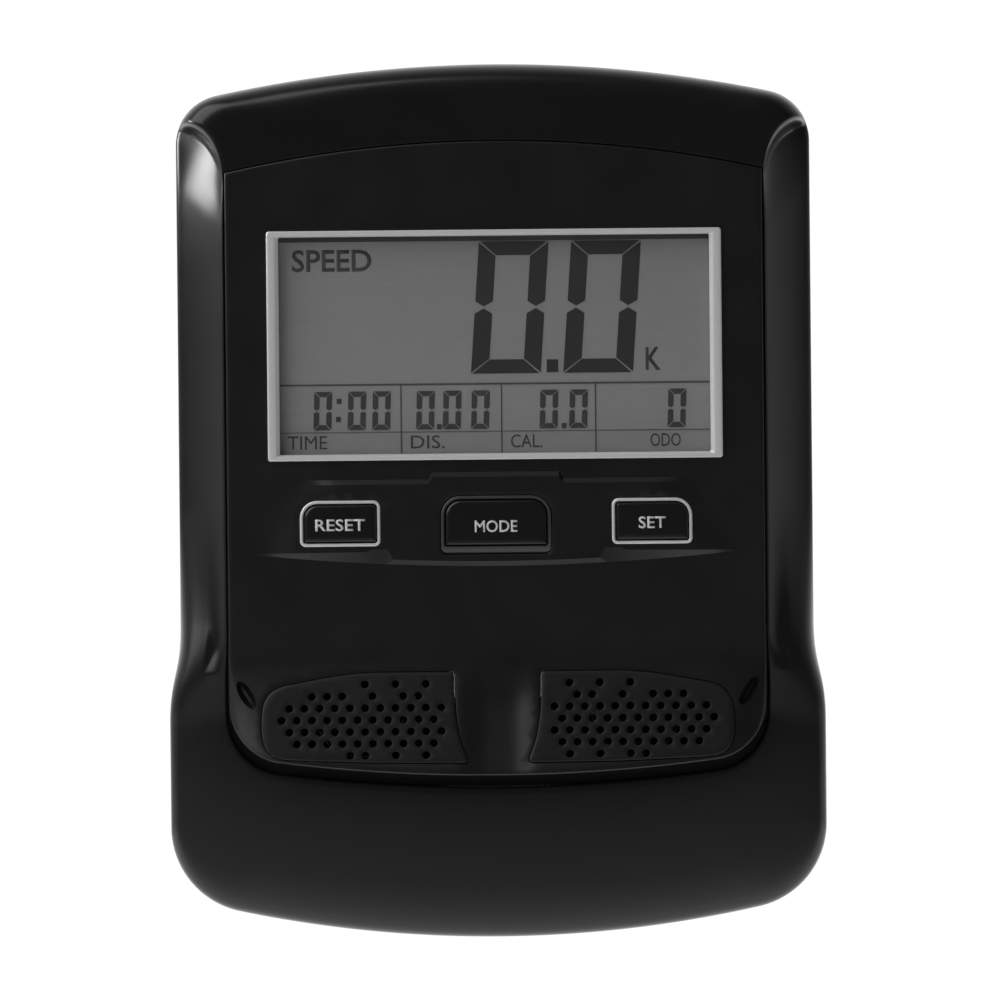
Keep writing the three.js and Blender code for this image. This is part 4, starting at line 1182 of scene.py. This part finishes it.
def display_marks():
    """Digits, labels and rules of the display, and a painted shadow along its top edge, in millimetres from
    the middle of the screen.
    """
    centre, size = centre_size("lcd_lens")
    cx, cy = centre.x, centre.y
    half_width, half_height = size.x / 2, size.y / 2
    top = face_box("lcd_glass")[1].z + 0.02

    big = Ink(top)
    for x in BIG_DIGITS_X:
        big.zero(cx + x, cy + BIG_ROW, **BIG_DIGIT)
    big.bar(cx + POINT_PLACE[0], cy + POINT_PLACE[1], *POINT_SIZE)
    big.make("speed_digits", segment_dark)

    small = Ink(top)
    for x in SMALL_DIGITS_X:
        small.zero(cx + x, cy + SMALL_ROW, **SMALL_DIGIT)
    for x, y in SMALL_DOTS:
        small.bar(cx + x, cy + y, 1.2, 1.3)
    small.make("small_digits", segment_soft)

    # Painted shadow: a dark strip along the screen's top edge stands for the shade cast by the frame's top
    # bar.
    shade = Ink(top)
    shade.bar(cx - half_width, cy + half_height - 1.1, size.x, 1.1)
    shade.make("display_shade", segment_soft)

    rules = Ink(top)
    rule = cy + RULE_Y
    rules.bar(cx - half_width, rule - 0.22, size.x, 0.45)
    faint = Ink(top)
    faint.bar(cx - half_width, rule - 11.7, size.x, 0.25)
    faint.make("faint_rule", segment_faint)
    for x in COLUMN_RULES_X:
        rules.bar(cx + x - 0.16, cy - half_height, 0.32, rule - 0.25 - cy + half_height)
    rules.make("display_rules", segment_rule)

    labels = (
        ("speed", "SPEED", -49.2, 18, 5.4, 19.4, 0.016), ("unit", "K", 36.8, -6.6, 5.6, 3.6, 0.016),
        *[(name, text, x, LABEL_ROW, LABEL_HEIGHT, width, 0) for name, text, x, width in (
            ("time", "TIME", -50.6, 9.6), ("distance", "DIS.", -20.6, 8.2),
            ("energy", "CAL.", 3.8, 7.6), ("total", "ODO", 37.8, 7.4),
        )],
    )
    for name, text, x, y, height, width, bold in labels:
        words(f"{name}_label", text, cx + x, cy + y, height, width, top, segment_soft, bold=bold)


# ---- keys


def cap_outline(name):
    """Centre, size and corner radii of a key cap. The middle one stops short of its trim's broad foot."""
    (x, y), (width, height), radii = KEYS[name]
    foot = MODE_FOOT if name == "mode" else 0
    return (x, y + foot / 2), (width, height - foot), radii


def key_cap(name):
    """Key with a crowned top and a flange that the fascia holds, and its printed function word."""
    key = cap_outline(name)
    low, high = face_box(f"{name}_button")
    top, flange = high.z, low.z + 1
    profile = (
        (1.1, low.z), (1.1, flange), (-0.3, flange), (-0.3, top - 0.7), (-0.38, top - 0.35),
        (-0.6, top - 0.12), (-1.0, top - 0.02), (-1.6, top),
    )
    solid = loops_to_mesh([at_height(cornered(*key, grow=grow), z) for grow, z in profile])
    body = f"{name}_key"
    piece(f"{name}_cap", solid, key_black, f"{name}_button", body, 50)
    (x, y), _, _ = KEYS[name]
    width = LEGEND_WIDTHS[name]
    start = (x - width / 2, y - LEGEND_DROP)
    words(f"{name}_legend", name.upper(), *start, LEGEND_HEIGHT, width, top + 0.005, legend_white, body,
          "silver_trim", bold=0.014)


def key_trim(name):
    """Proud rim round a key."""
    outer, inner = KEYS[name], cap_outline(name)
    low, high = face_box(f"{name}_ring")
    profile = (
        (inner, 0, low.z), (outer, RING_WIDTH, low.z), (outer, RING_WIDTH, high.z - 0.3),
        (outer, RING_WIDTH - 0.1, high.z - 0.08), (outer, RING_WIDTH - 0.3, high.z),
        (inner, 0.3, high.z), (inner, 0.1, high.z - 0.08), (inner, 0, high.z - 0.3),
    )
    loops = [at_height(cornered(*key, grow=grow), z) for key, grow, z in profile]
    points, faces = loops_to_mesh(loops, closed=True)
    # The middle key's trim takes the mid-grey plastic, whose lightness is partly painted light on its foot.
    dark = name == "mode"
    if dark:
        (_, y), (_, height), _ = inner
        foot = y - height / 2
        points = [(px, py, max(low.z, pz - MODE_SLOPE * max(0, foot - py))) for px, py, pz in points]
    trim = mode_trim if dark else silver
    piece(f"{name}_trim", (points, faces), trim, f"{name}_ring", angle=50)


# ---- rear housing


def rear_levels():
    """(draw-in, z) down the side of the rear bowl, rounded between the points that set its shape."""
    knots = [(0, -0.3), (0.2, -3), (0.6, -7), (2.6, -15), (7, -21.5), (11, -24.6), (16, BACK)]
    knots = np.array(knots, float)
    places = np.linspace(0, len(knots) - 1, 26)
    levels = []
    for p in places:
        k = min(int(p), len(knots) - 2)
        t = p - k
        before = knots[max(0, k - 1)]
        after = knots[min(len(knots) - 1, k + 2)]
        a, b = knots[k], knots[k + 1]
        ma, mb = (b - before) / 2, (after - a) / 2
        curve = (2 * t**3 - 3 * t**2 + 1) * a + (t**3 - 2 * t**2 + t) * ma
        curve += (3 * t**2 - 2 * t**3) * b + (t**3 - t**2) * mb
        levels.append((max(0.0, curve[0]), max(BACK, curve[1])))
    return levels


def shrunk(outline, inset, z):
    """The housing's outline drawn in by scaling it about the middle, at a height z."""
    sx, sy = 1 - inset / CHIN_HALF_WIDTH, 1 - inset / HALF_HEIGHT
    return [(x * sx, y * sy, z) for x, y in outline]


def rear_body(outline, inset, levels):
    return loops_to_mesh([shrunk(outline, drawn + inset, z) for drawn, z in levels])


def block(centre, size, radius, low, high, name="tool"):
    """A rectangular plate with rounded corners between two heights."""
    loop = cornered(centre, size, radius)
    return raw(loops_to_mesh([at_height(loop, low), at_height(loop, high)]), name)


def post(x, y, radius, low, high):
    return raw(loops_to_mesh(turned(((radius, low), (radius, high)), x, y)))


def combine(target, operation, tools):
    """Applies one exact boolean of several tools to the target, and removes the tools."""
    group = bpy.data.collections.new("tools")
    bpy.context.scene.collection.children.link(group)
    for tool in tools:
        group.objects.link(tool)
    step = target.modifiers.new("cut", "BOOLEAN")
    step.operation = operation
    step.operand_type = "COLLECTION"
    step.collection = group
    step.solver = "EXACT"
    result = bpy.data.meshes.new_from_object(target.evaluated_get(bpy.context.evaluated_depsgraph_get()))
    target.modifiers.clear()
    target.data = result
    for tool in tools:
        bpy.data.objects.remove(tool)
    bpy.data.collections.remove(group)


def middles(*nodes):
    """The middle of each CAD node on the face."""
    return [tuple(centre_size(node)[0][:2]) for node in nodes]


def screw_towers(outline, levels):
    """Tubes for the case screws, cut off just inside the rounded edge of the bowl."""
    towers = [post(*at, SCREW_TUBE_RADIUS, BACK + 0.5, -0.6) for at in middles(*CASE_SCREWS)]
    for tower in towers:
        combine(tower, "INTERSECT", [raw(rear_body(outline, 0.1, levels))])
    return towers


def tongue(outline):
    """Rib round the open edge of the bowl that stands up behind the front housing and keeps light out."""
    near, far, foot, top = WALL + 0.6, WALL + 1.4, -2.5, 0.4
    profile = ((WALL - 1, foot), (WALL - 1, -0.6), (near, -0.6), (near, top), (far, top), (far, foot))
    return raw(loops_to_mesh([shrunk(outline, inset, z) for inset, z in profile], closed=True))


def rear_shell():
    """The rear bowl with its pad, battery bay, inlet, jack holes, screw tubes and insert bosses."""
    outline = [station[0] for station in all_stations(44, 60, 50)]
    levels = rear_levels()
    hollow = [(drawn, 5.0 if k == 0 else z + WALL) for k, (drawn, z) in enumerate(levels)]
    target = raw(rear_body(outline, 0, levels), "rear_shell")
    combine(target, "DIFFERENCE", [raw(rear_body(outline, WALL, hollow))])
    bay = (0, face_box("battery_door")[0].y + 18.5)
    far = -40
    combine(target, "UNION", [
        block((0, PAD_Y), PAD_SIZE, 6, PAD_FACE, BACK + 1.5),
        block(bay, BAY_FRAME, 3, BACK + 0.2, BAY_FRAME_TOP),
        block(bay, BAY_BOX, 2, BACK + 0.4, BAY_BOX_TOP),
        *[post(*at, BOSS_RADIUS, BACK + 0.5, BOSS_TOP) for at in middles(*INSERTS)],
        *screw_towers(outline, levels),
        tongue(outline),
    ])
    combine(target, "DIFFERENCE", [
        *[post(*at, SCREW_BORE_RADIUS, -60, SCREW_SEAT) for at in middles(*CASE_SCREWS)],
        *[post(*at, INSERT_HOLE_RADIUS, far, PAD_FACE + INSERT_HOLE_DEPTH) for at in middles(*INSERTS)],
        *[post(*at, JACK_HOLE_RADIUS, far, -20) for at in middles(*JACKS)],
        block((0, INLET_Y), INLET_SIZE, 3, far, -15),
        block(bay, DOOR_OPENING, 2, far, BACK + DOOR_THICKNESS + 0.2),
        post(0, bay[1] - 19, 6, far, BACK + 1.3),
    ])
    combine(target, "DIFFERENCE", [
        block(bay, CELL_SPACE, 1.5, far, CELL_SPACE_TOP),
        *[block((side * HOOK_X, HOOK_SEAT_Y), HOOK_SEAT_SIZE, 0.4, *HOOK_SEAT_HEIGHTS) for side in (-1, 1)],
    ])
    finish_mesh(target.data, 30)
    soften(target, 0.45)
    dress(target, shell, "rear_housing")


def merge_flats(mesh):
    """Joins the slivers that the cuts leave in flat faces."""
    solid = bmesh.new()
    solid.from_mesh(mesh)
    bmesh.ops.dissolve_limit(solid, angle_limit=math.radians(0.5), verts=solid.verts, edges=solid.edges)
    solid.to_mesh(mesh)
    solid.free()


def soften(made, width, angle=35):
    """Small rounds on the sharp edges of a piece, with flat faces kept flat."""
    bevel = made.modifiers.new("rounds", "BEVEL")
    bevel.width = width * MM
    bevel.segments = 2
    bevel.limit_method = "ANGLE"
    bevel.angle_limit = math.radians(angle)
    bevel.miter_outer = "MITER_ARC"
    weights = made.modifiers.new("normals", "WEIGHTED_NORMAL")
    weights.keep_sharp = True


def battery_door():
    """Lid with two tongues at the top, and a spring tab with a finger ridge between two slits at the foot."""
    low, high = face_box("battery_door")
    top, bottom = high.y - 2.5, low.y
    centre, size = (0, (top + bottom) / 2), (high.x - low.x, top - bottom)
    target = block(centre, size, 2, BACK, BACK + DOOR_THICKNESS, "battery_lid")
    combine(target, "UNION", [
        *[block((side * HOOK_X, top - 0.25), (8, 5.5), 0.3, BACK + 1.6, BACK + 2.8) for side in (-1, 1)],
        block((0, bottom + 0.7), (12, 1.2), 0.5, BACK - 0.9, BACK + 1),
    ])
    combine(target, "DIFFERENCE", [
        *[block((side * 8, bottom + 2), (0.8, 6), 0.3, BACK - 1, BACK + 3) for side in (-1, 1)],
        *[block((0, bottom + 3.2 + 1.5 * k), (9, 0.6), 0.25, BACK - 1, BACK + 0.35) for k in range(3)],
    ])
    merge_flats(target.data)
    finish_mesh(target.data, 30)
    soften(target, 0.22)
    dress(target, shell, "battery_door", "door")


def case_screws():
    """Pan-head screws, each with a cross recess in its head."""
    for k, (x, y) in enumerate(middles(*CASE_SCREWS), 1):
        low, high = face_box(f"case_screw_{k}")
        seat = low.z + 2
        profile = ((0.01, low.z), (1.4, low.z + 0.1), (2.2, low.z + 0.5), (2.6, low.z + 1.1), (2.65, seat),
                   (1.45, seat), (1.45, high.z - 1.4), (0.2, high.z))
        target = raw(loops_to_mesh(turned(profile, x, y, 32)), f"pan_screw_{k}")
        for size in ((3.2, 0.6), (0.6, 3.2)):
            combine(target, "DIFFERENCE", [block((x, y), size, 0.2, low.z - 1, low.z + 1.1)])
        finish_mesh(target.data, 35)
        dress(target, steel, f"case_screw_{k}")


def mount_inserts():
    """Knurled brass inserts with a threaded bore."""
    turns, outer, bore, sides = 10, 3.5, 2.0, 60
    for k, (x, y) in enumerate(middles(*INSERTS), 1):
        low, high = face_box(f"mount_insert_{k}")
        neck, full, cut = (circle(x, y, outer - less, sides) for less in (0.3, 0, 0.12))
        knurl = [cut[i] if i % 3 == 0 else full[i] for i in range(sides)]
        loops = [at_height(neck, low.z), at_height(knurl, low.z + 0.3)]
        loops += [at_height(knurl, high.z - 0.3), at_height(neck, high.z)]
        pitch = (high.z - low.z) / turns
        for turn in range(turns, -1, -1):
            for part, radius in ((0.0, bore + 0.35), (-0.5, bore)):
                z = low.z + (turn + part) * pitch
                if low.z <= z <= high.z:
                    loops.append(at_height(circle(x, y, radius, sides), z))
        solid = loops_to_mesh(loops, closed=True)
        piece(f"brass_insert_{k}", solid, brass, f"mount_insert_{k}", angle=25)


def jacks():
    """Panel sockets, each with a hexagonal nut, a collar and a round bore."""
    nut_low, nut_high = BACK - 1.4, BACK - 0.15
    inner = BACK + WALL + 0.15
    for node, (x, y) in zip(JACKS, middles(*JACKS)):
        low, high = face_box(node)
        nut = [(NUT_RADIUS - 0.35, nut_low), (NUT_RADIUS, nut_low + 0.3), (NUT_RADIUS, nut_high)]
        target = raw(loops_to_mesh(turned(nut, x, y, 6)), node.replace("jack", "socket"))
        collar, case = post(x, y, 3.9, low.z, inner + 1), block((x, y), (11, 11), 0.6, inner, high.z)
        combine(target, "UNION", [collar, case])
        combine(target, "DIFFERENCE", [post(x, y, 1.8, -60, inner + 9)])
        finish_mesh(target.data, 35)
        soften(target, 0.15)
        dress(target, resin, node)


# ---- power


def cells():
    """Dry cells with a crimped shoulder and a steel button."""
    for k in (1, 2):
        node = f"battery_{k}"
        centre, size = centre_size(node)
        low, high = face_box(node)
        way = 1 if abs(low.x) < abs(high.x) else -1
        start = low.x if way > 0 else high.x
        radius, length = size.y / 2, size.x
        profile = (
            (0.01, 0), (radius - 1, 0), (radius - 0.2, 0.3), (radius, 1.0),
            (radius, length - 2.4), (radius - 0.5, length - 1.4), (2.9, length - 1.2),
            (2.75, length - 0.3), (2.4, length), (0.01, length),
        )
        loops = []
        for r, along in profile:
            x = start + way * along
            loops.append([(x, y, z) for y, z in circle(centre.y, centre.z, r, 48)])
        piece(f"dry_cell_{k}", loops_to_mesh(loops), sleeve, node, angle=40)


def springs():
    """Conical coil springs against the flat ends of the cells."""
    wire, turns, steps = 0.18, 4, 160
    for k in (1, 2):
        node = f"battery_spring_{k}"
        centre, _ = centre_size(node)
        low, high = face_box(node)
        wall_x, cell_x = (low.x, high.x) if centre.x < 0 else (high.x, low.x)
        middle_y = centre_size(f"battery_{k}")[0].y
        loops = []
        for step in range(steps + 1):
            share = step / steps
            angle = 2 * math.pi * turns * share
            x = mix(wall_x, cell_x, share) + wire * (1 - 2 * share) * (1 if cell_x > wall_x else -1)
            y_way, z_way = math.cos(angle), math.sin(angle)
            section = circle(mix(4.6, 2.6, share), 0, wire, 8)
            loops.append([(x + across, middle_y + r * y_way, centre.z + r * z_way) for r, across in section])
        piece(f"coil_spring_{k}", loops_to_mesh(loops), steel, node, angle=60)


# ---- carried-over nodes

KEPT = {
    "lcd_glass": lcd_grey, "lcd_holder": nylon, "zebra_strip_upper": rubber, "zebra_strip_lower": rubber,
    "main_board": board_green, "processor": resin, "battery_lead": wire_sleeve,
    "battery_contact_1": steel, "battery_contact_2": steel,
    **{f"{key}_switch": resin for key in KEYS}, **{f"{key}_plunger": nylon for key in KEYS},
    **{f"board_screw_{k}": steel for k in range(1, 5)},
}
for side_name in ("left", "right"):
    KEPT[f"speaker_gasket_{side_name}"] = rubber
    KEPT[f"speaker_basket_{side_name}"] = steel
    KEPT[f"speaker_magnet_{side_name}"] = ferrite
    KEPT[f"speaker_cone_{side_name}"] = paper
    KEPT[f"speaker_lead_{side_name}"] = wire_sleeve


def dress_kept_nodes():
    for node, material in KEPT.items():
        fill_slot(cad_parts[node], material)


# ---- stage, light and camera


FLOOR_RADIUS = 1.4
FLOOR_DROP = 0.12
GLOW_START = -0.37
GLOW_FULL = -0.07
GLOW_STRENGTH = 0.95


def floor_paper():
    """Pale paper. It glows softly under the console and behind it, and is dimmer in front."""
    nodes = Nodes("floor_paper")
    near = nodes.axis("Y")
    glow = nodes.span(near, 0.0, GLOW_STRENGTH, GLOW_START, GLOW_FULL, interpolation_type="SMOOTHSTEP")
    nodes.surface(
        Base_Color=nodes.ramp(nodes.noise(3, 3), (0.43, 0.43, 0.43), (0.46, 0.46, 0.46)),
        Emission_Strength=glow,
        Emission_Color=(1, 1, 1, 1),
        Roughness=0.9,
    )
    return nodes.material


def studio_floor():
    """A round pale floor under the console. It ends before the picture would show its edge."""
    level, sides = cad_bounds[0].z - FLOOR_DROP, 96
    mesh = bpy.data.meshes.new("floor")
    mesh.from_pydata(at_height(circle(0, 0, FLOOR_RADIUS, sides), level), [], [range(sides)])
    mesh.materials.append(floor_paper())
    add_object("floor", mesh)


def softbox(name, position, target, size, power):
    light = bpy.data.lights.new(name, "AREA")
    light.shape = "RECTANGLE"
    light.size, light.size_y = size
    light.energy = power
    made = add_object(name, light)
    made.location = position
    made.rotation_euler = (Vector(target) - Vector(position)).to_track_quat("-Z", "Y").to_euler()


ROOM_STOPS = ((-0.5, 0.085), (0.1, 0.27), (0.4, 0.42), (0.8, 0.6), (0.95, 1.02))


def room():
    """Pale room: mid grey in front of the console, lighter round its sides and white straight behind it."""
    world = bpy.data.worlds.new("room")
    bpy.context.scene.world = world
    world.use_nodes = True
    tree = world.node_tree
    direction = tree.nodes.new("ShaderNodeTexCoord")
    split = tree.nodes.new("ShaderNodeSeparateXYZ")
    share = tree.nodes.new("ShaderNodeMapRange")
    share.inputs["From Min"].default_value = -1
    depth = tree.nodes.new("ShaderNodeValToRGB")
    stops = depth.color_ramp.elements
    while len(stops) < len(ROOM_STOPS):
        stops.new(0.5)
    for stop, (y, level) in zip(stops, ROOM_STOPS):
        stop.position = (y + 1) / 2
        stop.color = (level, level, level, 1)
    tree.links.new(direction.outputs["Generated"], split.inputs["Vector"])
    tree.links.new(split.outputs["Y"], share.inputs["Value"])
    tree.links.new(share.outputs["Result"], depth.inputs["Fac"])
    tree.links.new(depth.outputs["Color"], tree.nodes["Background"].inputs["Color"])


def lights():
    low, high = cad_bounds
    middle = (low + high) / 2
    room()
    bpy.context.scene.view_settings.view_transform = "Standard"
    softbox("key", (-0.75, -0.5, middle.z + 0.75), middle, (1.3, 1.3), 11.0)
    softbox("corner", (-0.57, 0.0, 0.2), (-0.07, -0.04, -0.02), (0.1, 0.1), 0.16)
    softbox("streak", (-0.156, -0.03, 0.119), (-0.07, -0.04, 0.119), (0.04, 0.034), 0.052)


DISTANCE = 4.0
FIELD = 243.2
AIM = (1.0, 0.5)
ELEVATION = math.radians(1.0)
ROLL = math.radians(0.55)


def camera():
    """Long lens in front of the face, a little above it, with the slight roll of the picture."""
    low, high = cad_bounds
    middle = Vector((AIM[0] * MM, low.y, (low.z + high.z) / 2 + AIM[1] * MM))
    back = Vector((0, -math.cos(ELEVATION), math.sin(ELEVATION)))
    view = bpy.data.cameras.new("camera")
    view.sensor_width = 36
    view.lens = view.sensor_width * DISTANCE / (FIELD * MM)
    view.clip_start, view.clip_end = 0.05, 20
    made = add_object("camera", view)
    made.location = middle + back * DISTANCE
    made.rotation_euler = (-back).to_track_quat("-Z", "Y").to_euler()
    made.rotation_euler.rotate_axis("Z", -ROLL)
    bpy.context.scene.camera = made


# ---- assembly

camera()
lights()
studio_floor()
front_shell()
fascia_panel()
for grille_side, grille_node in ((-1, "grille_left"), (1, "grille_right")):
    grille(grille_side, grille_node)
bezel()
lens()
display_marks()
for key_name in KEYS:
    key_cap(key_name)
    key_trim(key_name)
rear_shell()
battery_door()
case_screws()
mount_inserts()
jacks()
cells()
springs()
dress_kept_nodes()
